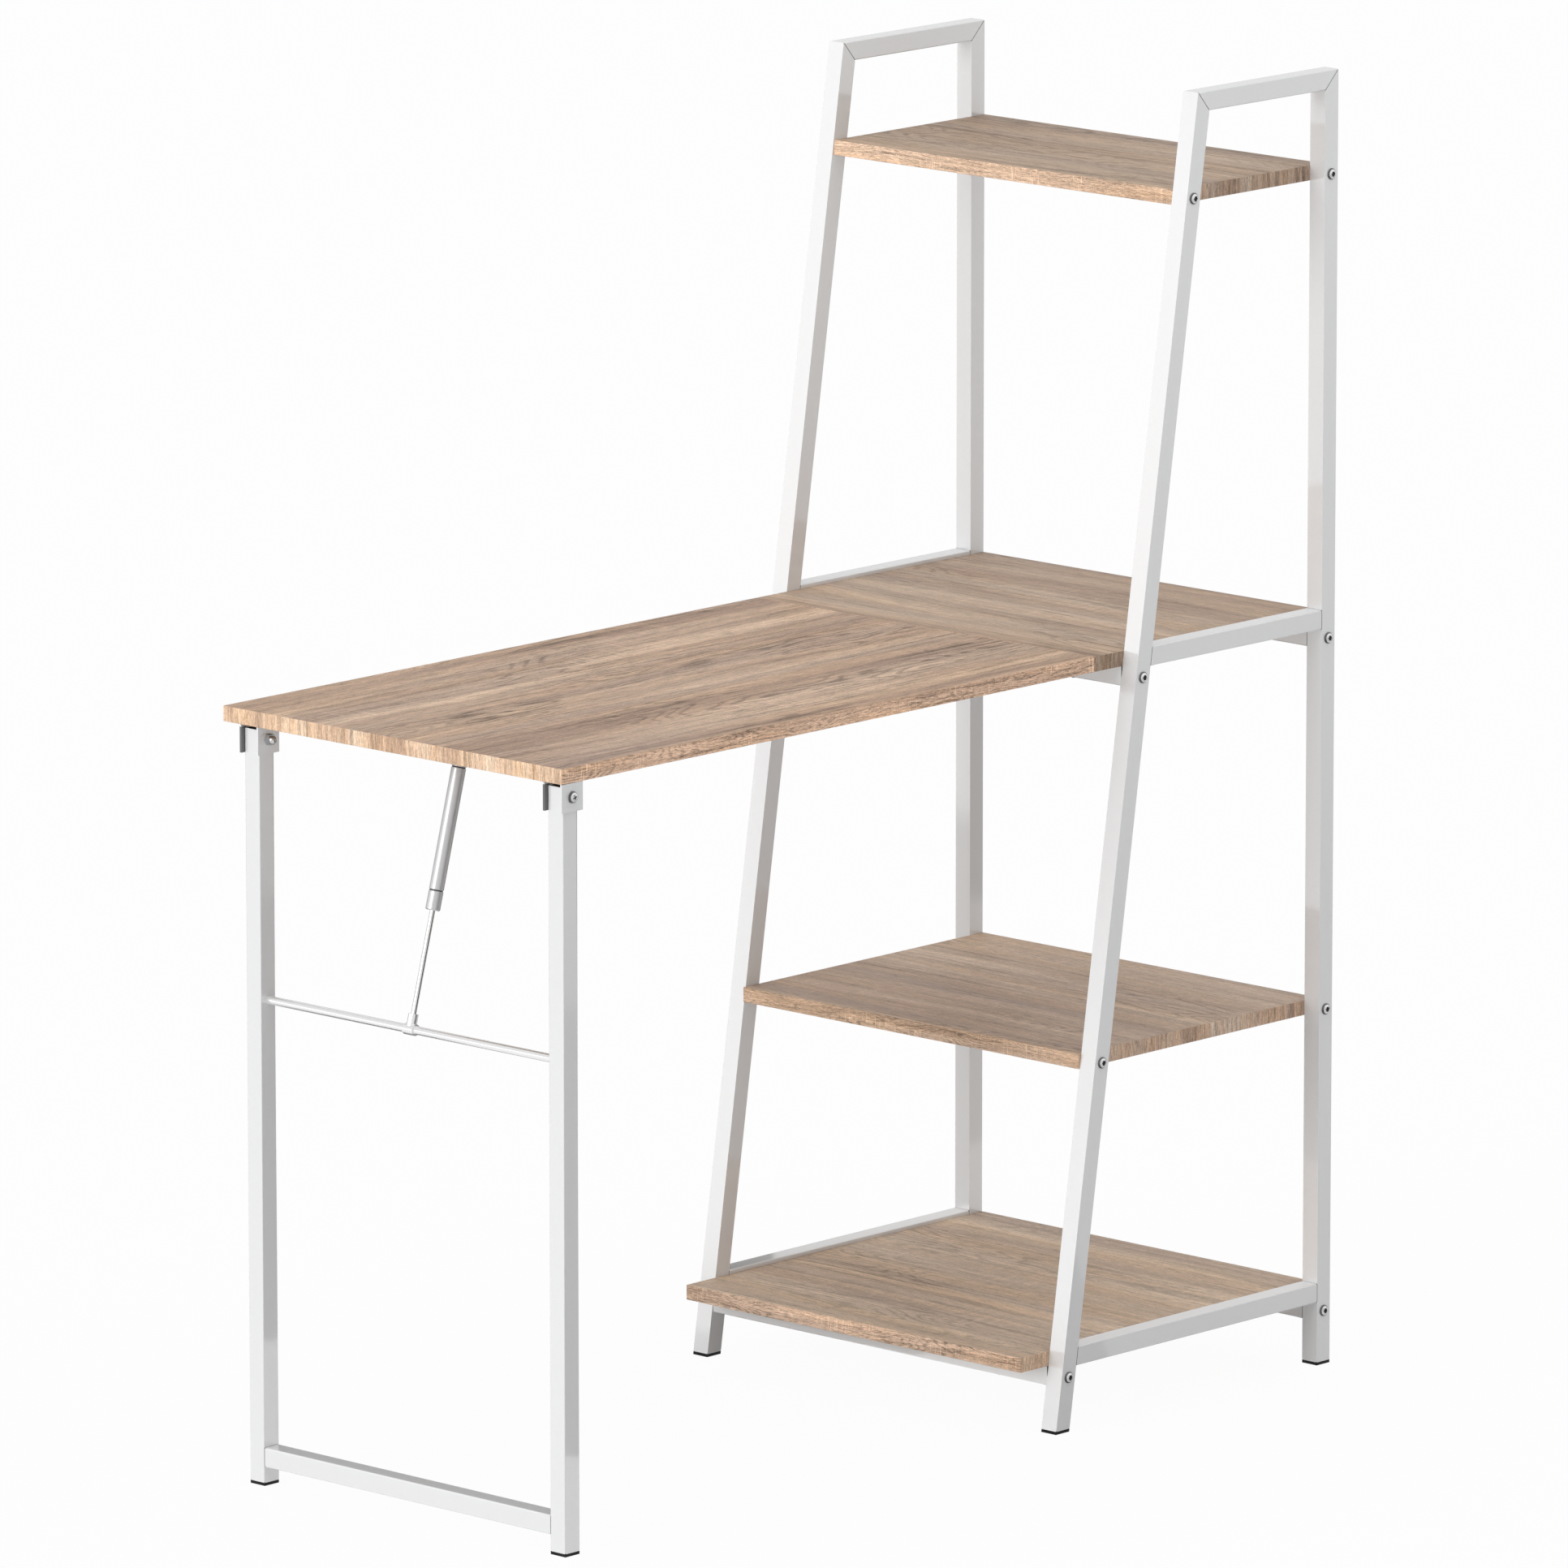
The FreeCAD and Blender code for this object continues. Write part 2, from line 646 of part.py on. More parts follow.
low_end = "-dims.hinge_length / 2"
middle_low = "-dims.knuckle_length / 2"
high_end = f"dims.hinge_length / 2 - {side_knuckle}"
outer_rolls = [(low_end, side_knuckle), (high_end, side_knuckle)]
middle_roll = [(middle_low, "dims.knuckle_length")]
for side, y in hinge_sides:
    hinge_plate(f"{side}_hinge_shelf_plate", "+", y, outer_rolls, middle_roll)
    hinge_plate(f"{side}_hinge_leaf_plate", "-", y, middle_roll, outer_rolls)
    pin = cylinder("dims.hinge_pin_dia / 2", "dims.hinge_length", "places.hinge_x",
                   f"{y} - dims.hinge_length / 2", "places.hinge_z", *inward_near)
    keep(pin, f"{side}_hinge_pin")


def flat_screw(name, plate):
    # A countersunk wood screw whose head fills a plate of the given thickness
    return turned(name, [
        ("0", "0"),
        ("dims.screw_head / 2", "0"),
        ("dims.screw_dia / 2", plate),
        ("dims.screw_dia / 2", f"{plate} + dims.screw_bite - dims.screw_dia"),
        ("0", f"{plate} + dims.screw_bite"),
    ])


def flat_screws(master, label, spots, plate):
    keep(copies(master, [(x, y, f"places.desk_under - {plate}") for x, y in spots]), label)


hinge_screw = flat_screw("hinge_screw", "dims.hinge_plate")
flat_screws(hinge_screw, "shelf_hinge_screws", hinge_screw_spots("+"), "dims.hinge_plate")
flat_screws(hinge_screw, "leaf_hinge_screws", hinge_screw_spots("-"), "dims.hinge_plate")


# Leg brackets under the leaf, with their pivot bolts

def leg_bracket(label, y):
    body = doc.addObject("PartDesign::Body", "channel")
    half = "places.bracket_width / 2"
    slot = f"({half} - dims.bracket_plate)"
    channel = [
        (f"-{half}", "0"), (f"-{half}", "-dims.bracket_height"), (f"-{slot}", "-dims.bracket_height"),
        (f"-{slot}", "-dims.bracket_plate"), (slot, "-dims.bracket_plate"), (slot, "-dims.bracket_height"),
        (half, "-dims.bracket_height"), (half, "0"),
    ]
    pad(body, outline(body, "YZ_Plane", channel), "dims.bracket_length")
    # The web is cut away at the leaf's end, where the leg's top swings out
    front = "-dims.bracket_length / 2"
    notch = rectangle(front, f"-{slot}", f"{front} + dims.bracket_notch", slot)
    pocket(body, outline(body, "XY_Plane", notch), "4 * dims.bracket_plate")
    pivot = ("dims.pivot_inset - dims.bracket_length / 2", "-dims.pivot_drop",
             "dims.bolt_dia / 2 + dims.thread_clearance")
    drill(body, "XZ_Plane", [pivot], "2 * places.bracket_width")
    place(body, "places.bracket_x", y, "places.desk_under")
    spots = [(x, screw_y) for x, screw_y in bracket_screw_spots if screw_y == y]
    holes = countersinks(spots, "places.desk_under - dims.bracket_plate", "dims.bracket_plate")
    return keep(cut(body, holes), label)


for side, y in leg_sides:
    leg_bracket(f"{side}_leg_bracket", y)

bracket_screw = flat_screw("bracket_screw", "dims.bracket_plate")
flat_screws(bracket_screw, "leg_bracket_screws", bracket_screw_spots, "dims.bracket_plate")

pivot_head = ("dims.pivot_head_dia", "dims.pivot_head", "dims.pivot_head_edge")
pivot_shank_end = "places.bracket_width + dims.washer + dims.nut - dims.nut_cap_gap"
pivot_bolt = domed_pin("pivot_bolt", *pivot_head, [
    (bolt_radius, "0"),
    (bolt_radius, f"{pivot_shank_end} - dims.bolt_point"),
    (f"{bolt_radius} - dims.bolt_point", pivot_shank_end),
    ("0", pivot_shank_end),
])
washer_ring = turned("washer_ring", ring_profile(
    "dims.bolt_dia / 2 + dims.thread_clearance", "dims.washer_dia / 2", "-dims.washer", "0"))
nut_block = doc.addObject("PartDesign::Body", "nut_block")
pad(nut_block, outline(nut_block, "XY_Plane", hexagon("dims.nut_key")), "dims.nut")
drill(nut_block, "XY_Plane", [("0", "0", "dims.bolt_dia / 2 + dims.thread_clearance")], "2 * dims.nut")
nut_cap = domed_pin("nut_cap", "dims.nut_cap_dia", "dims.nut_cap", "dims.nut_cap_edge", [("0", "0")])
cap_nut = joined(nut_block, place(nut_cap, z="dims.nut / 2", axis=along_x, angle="180"))


def pivot_spots(depth):
    # Bolts go in from the outer face of each bracket, so depth is counted inwards from there
    near_y = f"places.near_leg_y - places.bracket_width / 2 + {depth}"
    far_y = f"places.far_leg_y + places.bracket_width / 2 - ({depth})"
    return [("places.leg_x", near_y, "places.pivot_z", *inward_near),
            ("places.leg_x", far_y, "places.pivot_z", *inward_far)]


keep(copies(pivot_bolt, pivot_spots("-dims.washer")), "leg_pivot_bolts")
keep(copies(washer_ring, pivot_spots("0")), "leg_pivot_washers")
keep(copies(cap_nut, pivot_spots("places.bracket_width + dims.nut / 2")), "leg_pivot_nuts")


# Leg frame: two legs, a bottom rail and the round bar that carries the strut

def leg(label, y):
    body = doc.addObject("PartDesign::Body", label)
    left = "-places.half_tube"
    right = "places.half_tube"
    wall_left = f"{left} + dims.tube_wall"
    wall_right = f"{right} - dims.tube_wall"
    outside = [(left, foot_line), (right, foot_line), (right, "places.leg_top - dims.leg_corner"),
               (f"{right} - dims.leg_corner", "places.leg_top"), (left, "places.leg_top")]
    pad(body, outline(body, "XZ_Plane", outside), "dims.tube")
    inside = rectangle(wall_left, foot_line, wall_right, "places.leg_top")
    pocket(body, outline(body, "XZ_Plane", inside), "places.tube_bore")
    bush_hole = ("0", "places.pivot_z", "dims.bush_dia / 2 + dims.running_clearance")
    drill(body, "XZ_Plane", [bush_hole], "2 * dims.tube")
    place(body, "places.leg_x", y)
    return keep(body, label)


for side, y in leg_sides:
    leg(f"{side}_leg", y)
    foot_cap(f"{side}_leg_foot", lambda z: "places.leg_x - places.half_tube",
             lambda z: "places.leg_x + places.half_tube", y)
cross_tube("leg_bottom_rail", "places.between_legs", "places.leg_x", "places.leg_middle_y",
           "dims.leg_rail_height + places.half_tube")

# Bushes that the pivot bolts pass through, and plugs that close the legs' tops

leg_plug = doc.addObject("PartDesign::Body", "leg_plug")
plug_left = "dims.tube_wall + dims.plug_clearance - places.half_tube"
plug_right = "places.half_tube - dims.tube_wall - dims.plug_clearance"
plug_under = "places.leg_top - dims.leg_plug"
plug_shoulder = "places.leg_top - dims.leg_corner + dims.tube_wall + dims.plug_clearance"
pad(leg_plug, outline(leg_plug, "XZ_Plane", [
    (plug_left, plug_under),
    (plug_right, plug_under),
    (plug_right, plug_shoulder),
    ("places.half_tube - dims.leg_corner", "places.leg_top"),
    (plug_left, "places.leg_top"),
]), plug_width)
bush = turned("bush", ring_profile("dims.bolt_dia / 2 + dims.running_clearance", "dims.bush_dia / 2",
                                   "-places.half_tube", "places.half_tube"))
bushes = copies(bush, [("places.leg_x", y, "places.pivot_z", *inward_near) for side, y in leg_sides])
plugs = copies(leg_plug, [("places.leg_x", y) for side, y in leg_sides])
keep(compound([bushes, plugs]), "leg_pivot_bushes")
crossbar_start = "places.leg_middle_y - places.between_legs / 2"
crossbar = cylinder("dims.crossbar_dia / 2", "places.between_legs", "places.leg_x", crossbar_start,
                    "places.crossbar_z", *inward_near)
keep(crossbar, "strut_crossbar")

# Gas strut, drawn upright from the crossbar's axis and then leaned onto its line


def lean(item, label):
    place(item, "places.leg_x", "places.leg_middle_y", "places.crossbar_z", along_y, "places.strut_lean")
    return keep(item, label)


tee_sleeve = cylinder("dims.tee_dia / 2", "dims.tee_length", "0", "-dims.tee_length / 2", "0", *inward_near)
tee_stub = cylinder("dims.tee_stub_dia / 2", "dims.tee_stub", "0", "0", "0")
tee_bore = cylinder("dims.crossbar_dia / 2 + dims.running_clearance", "2 * dims.tee_length", "0",
                    "-dims.tee_length", "0", *inward_near)
rod_start = "dims.tee_dia / 2 + dims.thread_clearance"
rod_socket = cylinder("dims.rod_dia / 2 + dims.thread_clearance", "dims.tee_stub", "0", "0", rod_start)
lean(cut(joined(tee_sleeve, tee_stub), joined(tee_bore, rod_socket)), "strut_tee_clip")

rod_radius = "dims.rod_dia / 2"
piston_stop = "places.piston_start + dims.piston"
lean(turned("piston_rod", [
    ("0", rod_start),
    (rod_radius, rod_start),
    (rod_radius, "places.piston_start"),
    ("dims.rivet_dia / 2", "places.piston_start"),
    ("dims.rivet_dia / 2", f"{piston_stop} + dims.piston_gap"),
    ("0", f"{piston_stop} + dims.piston_gap"),
]), "strut_piston_rod")
lean(turned("piston", ring_profile("dims.rivet_dia / 2 + dims.thread_clearance",
                                   "places.cylinder_bore - dims.running_clearance",
                                   "places.piston_start", piston_stop)), "strut_piston")

bore = "places.cylinder_bore"
outer = "dims.cylinder_dia / 2"
stud_hole = "dims.eye_stud_dia / 2 + dims.thread_clearance"
lean(turned("cylinder_tube", [
    (bore, "places.cylinder_start"),
    (f"{outer} - dims.cylinder_wall / 2", "places.cylinder_start"),
    (outer, "places.cylinder_start + dims.cylinder_wall / 2"),
    (outer, "places.cylinder_stop - dims.cylinder_wall / 2"),
    (f"{outer} - dims.cylinder_wall / 2", "places.cylinder_stop"),
    (stud_hole, "places.cylinder_stop"),
    (stud_hole, "places.cylinder_stop - dims.cylinder_end"),
    (bore, "places.cylinder_stop - dims.cylinder_end"),
]), "strut_cylinder")

rod_bore = f"{rod_radius} + dims.running_clearance"
spigot_radius = f"{bore} - dims.thread_clearance"
collar_stop = "places.collar_start + dims.collar_length"
lean(turned("end_collar", [
    (rod_bore, "places.collar_start"),
    (f"{outer} - dims.cylinder_wall", "places.collar_start"),
    (outer, "places.collar_start + dims.cylinder_wall"),
    (outer, f"{collar_stop} - dims.cylinder_wall / 2"),
    (f"{outer} - dims.cylinder_wall / 2", collar_stop),
    (spigot_radius, collar_stop),
    (spigot_radius, "places.seal_start"),
    (rod_bore, "places.seal_start"),
]), "strut_end_collar")
lean(turned("seal_ring", ring_profile(rod_bore, spigot_radius, "places.seal_start",
                                      "places.seal_start + dims.seal")), "strut_seal")

eye_base = "places.cylinder_stop + dims.collar_groove"
eye_neck = turned("eye_neck", [
    ("0", eye_base),
    (f"{outer} - dims.cylinder_wall / 2", eye_base),
    (outer, f"{eye_base} + dims.cylinder_wall / 2"),
    (outer, f"{eye_base} + dims.eye_neck - dims.cylinder_wall"),
    (f"{outer} - dims.cylinder_wall", f"{eye_base} + dims.eye_neck"),
    ("0", f"{eye_base} + dims.eye_neck"),
])
eye_stud = cylinder("dims.eye_stud_dia / 2", "dims.collar_groove + dims.cylinder_end", "0", "0",
                    "places.cylinder_stop - dims.cylinder_end")
eye_disc = cylinder("dims.eye_radius", "dims.eye_plate", "0", "-dims.eye_plate / 2", "places.strut_span",
                    *inward_near)
eye_web = box("2 * dims.eye_radius", "dims.eye_plate", "dims.eye_length", "-dims.eye_radius",
              "-dims.eye_plate / 2", eye_base)
eye_hole = cylinder("dims.top_pin_dia / 2 + dims.thread_clearance", "2 * dims.eye_plate", "0",
                    "-dims.eye_plate", "places.strut_span", *inward_near)
lean(cut(joined(eye_neck, eye_stud, eye_disc, eye_web), eye_hole), "strut_top_eye")
top_pin = cylinder("dims.top_pin_dia / 2", "dims.eye_plate / 2 + places.ear_stand", "places.strut_top_x",
                   "places.leg_middle_y - dims.eye_plate / 2", "places.pivot_z", *inward_near)
keep(top_pin, "strut_top_pin")

# The strut's bracket under the leaf, with one ear and its pivot screw

top_plate = box("dims.top_plate_length", "dims.top_plate_width", "dims.ear_plate",
                "places.strut_top_x - dims.top_plate_length / 2",
                "places.ear_y + dims.ear_plate - dims.top_plate_width",
                "places.desk_under - dims.ear_plate")
ear_side = box("dims.ear_width", "dims.ear_plate", "dims.pivot_drop",
               "places.strut_top_x - dims.ear_width / 2", "places.ear_y", "places.pivot_z")
ear_round = cylinder("dims.ear_width / 2", "dims.ear_plate", "places.strut_top_x", "places.ear_y",
                     "places.pivot_z", *inward_near)
ear_hole = cylinder("dims.bolt_dia / 2 + dims.thread_clearance", "dims.ear_plate", "places.strut_top_x",
                    "places.ear_y", "places.pivot_z", *inward_near)
top_countersinks = countersinks(top_screw_spots, "places.desk_under - dims.ear_plate", "dims.ear_plate")
keep(cut(joined(top_plate, ear_side, ear_round), joined(ear_hole, top_countersinks)), "strut_top_bracket")
top_screw = flat_screw("top_screw", "dims.ear_plate")
flat_screws(top_screw, "strut_bracket_screws", top_screw_spots, "dims.ear_plate")
ear_screw = domed_pin("ear_screw", *pivot_head, [
    (bolt_radius, "0"),
    (bolt_radius, "dims.ear_plate"),
    ("0", "dims.ear_plate"),
])
place(ear_screw, "places.strut_top_x", "places.ear_y + dims.ear_plate", "places.pivot_z", *inward_far)
keep(ear_screw, "strut_pivot_screw")

# Build, test and write every piece

doc.recompute()
failed = [item.Name for item in doc.Objects if {"Invalid", "Error"} & set(item.State)]
failed += [item.Label for item in nodes if item.Shape.isNull() or not item.Shape.isValid()]
if failed:
    raise RuntimeError("did not build: " + ", ".join(failed))

os.makedirs("parts", exist_ok=True)
for item in nodes:
    item.Shape.exportStep(f"parts/{item.Label}.step")
    print(item.Label, len(item.Shape.Solids), round(item.Shape.Volume, 1))
print(len(nodes), "nodes")
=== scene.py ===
import math

import bmesh
import bpy
from mathutils import Matrix, Vector


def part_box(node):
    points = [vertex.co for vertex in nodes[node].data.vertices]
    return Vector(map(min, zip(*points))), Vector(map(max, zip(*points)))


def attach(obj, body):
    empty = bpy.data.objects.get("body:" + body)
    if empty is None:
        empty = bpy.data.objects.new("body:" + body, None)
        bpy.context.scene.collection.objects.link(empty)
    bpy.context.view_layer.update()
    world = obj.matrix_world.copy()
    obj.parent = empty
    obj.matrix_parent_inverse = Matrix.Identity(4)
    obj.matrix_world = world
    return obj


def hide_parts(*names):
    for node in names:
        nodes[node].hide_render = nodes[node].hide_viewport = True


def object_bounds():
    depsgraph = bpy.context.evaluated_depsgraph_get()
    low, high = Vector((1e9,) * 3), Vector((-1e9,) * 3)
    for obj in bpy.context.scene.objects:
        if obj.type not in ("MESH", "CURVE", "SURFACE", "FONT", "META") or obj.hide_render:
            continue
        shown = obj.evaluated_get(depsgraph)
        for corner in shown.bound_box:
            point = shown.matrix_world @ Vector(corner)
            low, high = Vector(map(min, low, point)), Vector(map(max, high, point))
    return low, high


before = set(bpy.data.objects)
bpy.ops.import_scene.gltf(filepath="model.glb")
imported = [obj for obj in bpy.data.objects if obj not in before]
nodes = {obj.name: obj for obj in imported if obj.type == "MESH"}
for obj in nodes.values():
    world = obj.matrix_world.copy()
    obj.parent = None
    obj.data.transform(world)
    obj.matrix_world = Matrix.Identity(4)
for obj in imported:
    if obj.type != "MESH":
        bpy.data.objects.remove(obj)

# folding desk with a ladder shelf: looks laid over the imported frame, everything in metres
cadLow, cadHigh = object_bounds()
print("frame loaded:", len(nodes), "nodes")

sharpAngle = 1.0            # radians, an edge with a wider turn is a corner
weldDistance = 0.000001


# helpers for objects, meshes and nodes

def addObject(name, data):
    made = bpy.data.objects.new(name, data)
    bpy.context.scene.collection.objects.link(made)
    return made


def meshOf(bm, name):
    mesh = bpy.data.meshes.new(name)
    bm.to_mesh(mesh)
    bm.free()
    return mesh


def joinInto(bm, part):
    # adds a finished part to a bmesh
    mesh = meshOf(part, "joinedPart")
    bm.from_mesh(mesh)
    bpy.data.meshes.remove(mesh)


def roundEdges(bm, edges, offset, steps):
    bmesh.ops.bevel(bm, geom=edges, offset=offset, affect="EDGES", segments=steps, profile=0.5,
                    material=-1)


def standAt(place, outward):
    # a frame at a place, with its Z axis along outward
    return Matrix.Translation(place) @ outward.to_track_quat("Z", "Y").to_matrix().to_4x4()


def addNode(tree, kind, **settings):
    node = tree.nodes.new(kind)
    for name, value in settings.items():
        setattr(node, name, value)
    return node


def feed(tree, socket, value):
    # a socket is wired, anything else is set as the socket's own value
    if isinstance(value, bpy.types.NodeSocket):
        tree.links.new(value, socket)
    else:
        socket.default_value = value


def calc(tree, operation, first, second=0.0):
    node = addNode(tree, "ShaderNodeMath", operation=operation)
    feed(tree, node.inputs[0], first)
    feed(tree, node.inputs[1], second)
    return node.outputs[0]


def emptyMaterial(name):
    material = bpy.data.materials.new(name)
    material.use_nodes = True
    material.node_tree.nodes.clear()
    return material, material.node_tree


# stage: camera, floor, light

cameraSetup = {
    "azimuth": -46.96,      # degrees, 0 looks along +Y
    "elevation": 11.595,
    "roll": -0.03,
    "target": (0.0002, -0.0044, 0.6261),
    "distance": 14.213,
    "sensor": 36,           # mm, and so is the lens
    "lens": 340.72,
    "farClip": 200,
}
lightSetup = {
    "worldStrength": 0.70,
    "floorSize": 90.0,
    "floorColor": (0.74, 0.74, 0.74, 1),
    "floorWhite": 0.96,     # share of the seen floor that is plain white
}
lamps = {
    "overheadLamp": {"direction": (0.1, -0.1, 1.0), "strength": 0.66, "angle": 90},
    "sideLamp": {"direction": (-1.0, 0.1, 0.32), "strength": 1.25, "angle": 34},
}


def buildCamera(setup):
    azimuth = math.radians(setup["azimuth"])
    elevation = math.radians(setup["elevation"])
    back = Vector((math.sin(azimuth) * math.cos(elevation),
                   -math.cos(azimuth) * math.cos(elevation),
                   math.sin(elevation)))
    camera = addObject("viewCamera", bpy.data.cameras.new("viewCamera"))
    place = Matrix.Translation(Vector(setup["target"]) + back * setup["distance"])
    turn = (-back).to_track_quat("-Z", "Y").to_matrix().to_4x4()
    roll = Matrix.Rotation(math.radians(setup["roll"]), 4, "Z")
    camera.matrix_world = place @ turn @ roll
    camera.data.sensor_width = setup["sensor"]
    camera.data.lens = setup["lens"]
    camera.data.clip_end = setup["farClip"]
    bpy.context.scene.camera = camera


def seenDirectly(tree):
    # 1 for rays that show the background itself, 0 for those that only light the object
    path = addNode(tree, "ShaderNodeLightPath")
    seen = path.outputs["Is Camera Ray"]
    for other in ("Is Glossy Ray", "Is Transmission Ray"):
        seen = calc(tree, "MAXIMUM", seen, path.outputs[other])
    return seen


def buildFloor(setup):
    bm = bmesh.new()
    bmesh.ops.create_grid(bm, x_segments=1, y_segments=1, size=setup["floorSize"] / 2)
    floor = addObject("studioFloor", meshOf(bm, "studioFloor"))
    material, tree = emptyMaterial("floorWhite")
    diffuse = addNode(tree, "ShaderNodeBsdfDiffuse")
    diffuse.inputs["Color"].default_value = setup["floorColor"]
    white = addNode(tree, "ShaderNodeEmission")
    mix = addNode(tree, "ShaderNodeMixShader")
    feed(tree, mix.inputs[0], calc(tree, "MULTIPLY", seenDirectly(tree), setup["floorWhite"]))
    feed(tree, mix.inputs[1], diffuse.outputs[0])
    feed(tree, mix.inputs[2], white.outputs[0])
    out = addNode(tree, "ShaderNodeOutputMaterial")
    feed(tree, out.inputs["Surface"], mix.outputs[0])
    floor.data.materials.append(material)


def buildWorld(setup):
    world = bpy.data.worlds.new("studioWorld")
    bpy.context.scene.world = world
    world.use_nodes = True
    tree = world.node_tree
    tree.nodes.clear()
    strength = addNode(tree, "ShaderNodeMapRange")
    feed(tree, strength.inputs["Value"], seenDirectly(tree))
    strength.inputs["To Min"].default_value = setup["worldStrength"]
    strength.inputs["To Max"].default_value = 1.0
    sky = addNode(tree, "ShaderNodeBackground")
    feed(tree, sky.inputs["Strength"], strength.outputs[0])
    out = addNode(tree, "ShaderNodeOutputWorld")
    feed(tree, out.inputs["Surface"], sky.outputs[0])


def buildLamp(name, setup):
    lamp = addObject(name, bpy.data.lights.new(name, "SUN"))
    lamp.rotation_mode = "QUATERNION"
    lamp.rotation_quaternion = Vector(setup["direction"]).to_track_quat("Z", "Y")
    lamp.data.energy = setup["strength"]
    lamp.data.angle = math.radians(setup["angle"])     # degrees across, wide is soft


# cards that only reflections see, as a photographer sets them: grey beside the desk, dark behind it
# ends are (radius, height), angles are degrees from +X
cardSteps = 24
behind = (-0.48, 0.0, 0.0)
cards = {
    "sideFloorCard": {"ends": ((0.25, 0.002), (2.2, 0.002)), "start": -118, "sweep": 72, "grey": 0.19},
    "outerFloorCard": {"ends": ((0.25, 0.002), (2.2, 0.002)), "start": -46, "sweep": 34, "grey": 0.55},
    "sideCard": {"ends": ((2.2, 0.002), (2.2, 2.2)), "start": -118, "sweep": 108, "grey": 0.50,
                 "topGrey": 0.92, "rise": 0.85},       # topGrey is reached at the height of rise
    "leftCard": {"ends": ((7.5, 0.02), (7.5, 1.9)), "start": 116, "sweep": 42, "grey": 1.42},
    "stripCard": {"ends": ((2.1, 0.004), (2.1, 1.3)), "start": -100, "sweep": 38, "grey": 0.03},
    "backCard": {"center": behind, "ends": ((2.6, 0.002), (2.6, 0.3)), "start": -25, "sweep": 132,
                 "grey": 0.06},
    "backFloorCard": {"center": behind, "ends": ((0.38, 0.003), (2.6, 0.003)), "start": 8, "sweep": 104,
                      "grey": 0.12},
    "railCard": {"center": behind, "ends": ((2.6, 0.3), (2.6, 0.8)), "start": 36, "sweep": 32,
                 "grey": 0.06},
}


def buildCard(name, setup):
    # a line from one end to the other, swept about an upright axis
    turn = math.radians(setup["start"])
    bm = bmesh.new()
    points = [bm.verts.new((radius * math.cos(turn), radius * math.sin(turn), height))
              for radius, height in setup["ends"]]
    edge = bm.edges.new(points)
    bmesh.ops.spin(bm, geom=points + [edge], cent=(0, 0, 0), axis=(0, 0, 1),
                   angle=math.radians(setup["sweep"]), steps=cardSteps)
    bmesh.ops.translate(bm, vec=setup.get("center", (0, 0, 0)), verts=bm.verts)
    card = addObject(name, meshOf(bm, name))
    material, tree = emptyMaterial(name)
    coords = addNode(tree, "ShaderNodeTexCoord")
    place = addNode(tree, "ShaderNodeSeparateXYZ")
    feed(tree, place.inputs[0], coords.outputs["Object"])
    fade = addNode(tree, "ShaderNodeMapRange")
    feed(tree, fade.inputs["Value"], place.outputs["Z"])
    fade.inputs["From Max"].default_value = setup.get("rise", 1.0)
    fade.inputs["To Min"].default_value = setup["grey"]
    fade.inputs["To Max"].default_value = setup.get("topGrey", setup["grey"])
    glow = addNode(tree, "ShaderNodeEmission")
    feed(tree, glow.inputs["Strength"], fade.outputs[0])
    out = addNode(tree, "ShaderNodeOutputMaterial")
    feed(tree, out.inputs["Surface"], glow.outputs[0])
    card.data.materials.append(material)
    card.visible_camera = False
    card.visible_diffuse = False
    card.visible_shadow = False
    card.visible_transmission = False
    card.visible_volume_scatter = False


buildCamera(cameraSetup)
for name, setup in cards.items():
    buildCard(name, setup)
buildFloor(lightSetup)
buildWorld(lightSetup)
for name, setup in lamps.items():
    buildLamp(name, setup)
bpy.context.scene.view_settings.view_transform = "Standard"
print("stage built:", len(cards), "cards,", len(lamps), "lamps")


# shader helpers: each returns the socket that carries its result

def total(tree, *parts):
    # the sum of sockets, each given with the share that it adds
    result = None
    for socket, share in parts:
        part = calc(tree, "MULTIPLY", socket, share)
        result = part if result is None else calc(tree, "ADD", result, part)
    return result


def remap(tree, value, low, high, newLow=0.0, newHigh=1.0):
    node = addNode(tree, "ShaderNodeMapRange", interpolation_type="SMOOTHSTEP")
    feed(tree, node.inputs["Value"], value)
    limits = {"From Min": low, "From Max": high, "To Min": newLow, "To Max": newHigh}
    for name, number in limits.items():
        node.inputs[name].default_value = number
    return node.outputs[0]


def vectorCalc(tree, operation, first, second):
    node = addNode(tree, "ShaderNodeVectorMath", operation=operation)
    feed(tree, node.inputs[0], first)
    feed(tree, node.inputs[1], second)
    return node.outputs[0]


def stretch(tree, vector, sizes, shift=(0, 0, 0)):
    node = addNode(tree, "ShaderNodeVectorMath", operation="MULTIPLY_ADD")
    feed(tree, node.inputs[0], vector)
    node.inputs[1].default_value = sizes
    node.inputs[2].default_value = shift
    return node.outputs[0]


def noise(tree, vector, detail=2.0, roughness=0.5, scale=1.0):
    node = addNode(tree, "ShaderNodeTexNoise")
    feed(tree, node.inputs["Vector"], vector)
    feed(tree, node.inputs["Scale"], scale)
    node.inputs["Detail"].default_value = detail
    node.inputs["Roughness"].default_value = roughness
    return node.outputs[0]


def mixColors(tree, factor, first, second):
    node = addNode(tree, "ShaderNodeMix", data_type="RGBA")
    feed(tree, node.inputs[0], factor)
    feed(tree, node.inputs[6], first)
    feed(tree, node.inputs[7], second)
    return node.outputs[2]


def shadeColor(tree, color, factor):
    node = addNode(tree, "ShaderNodeVectorMath", operation="SCALE")
    feed(tree, node.inputs[0], color)
    feed(tree, node.inputs["Scale"], factor)
    return node.outputs[0]


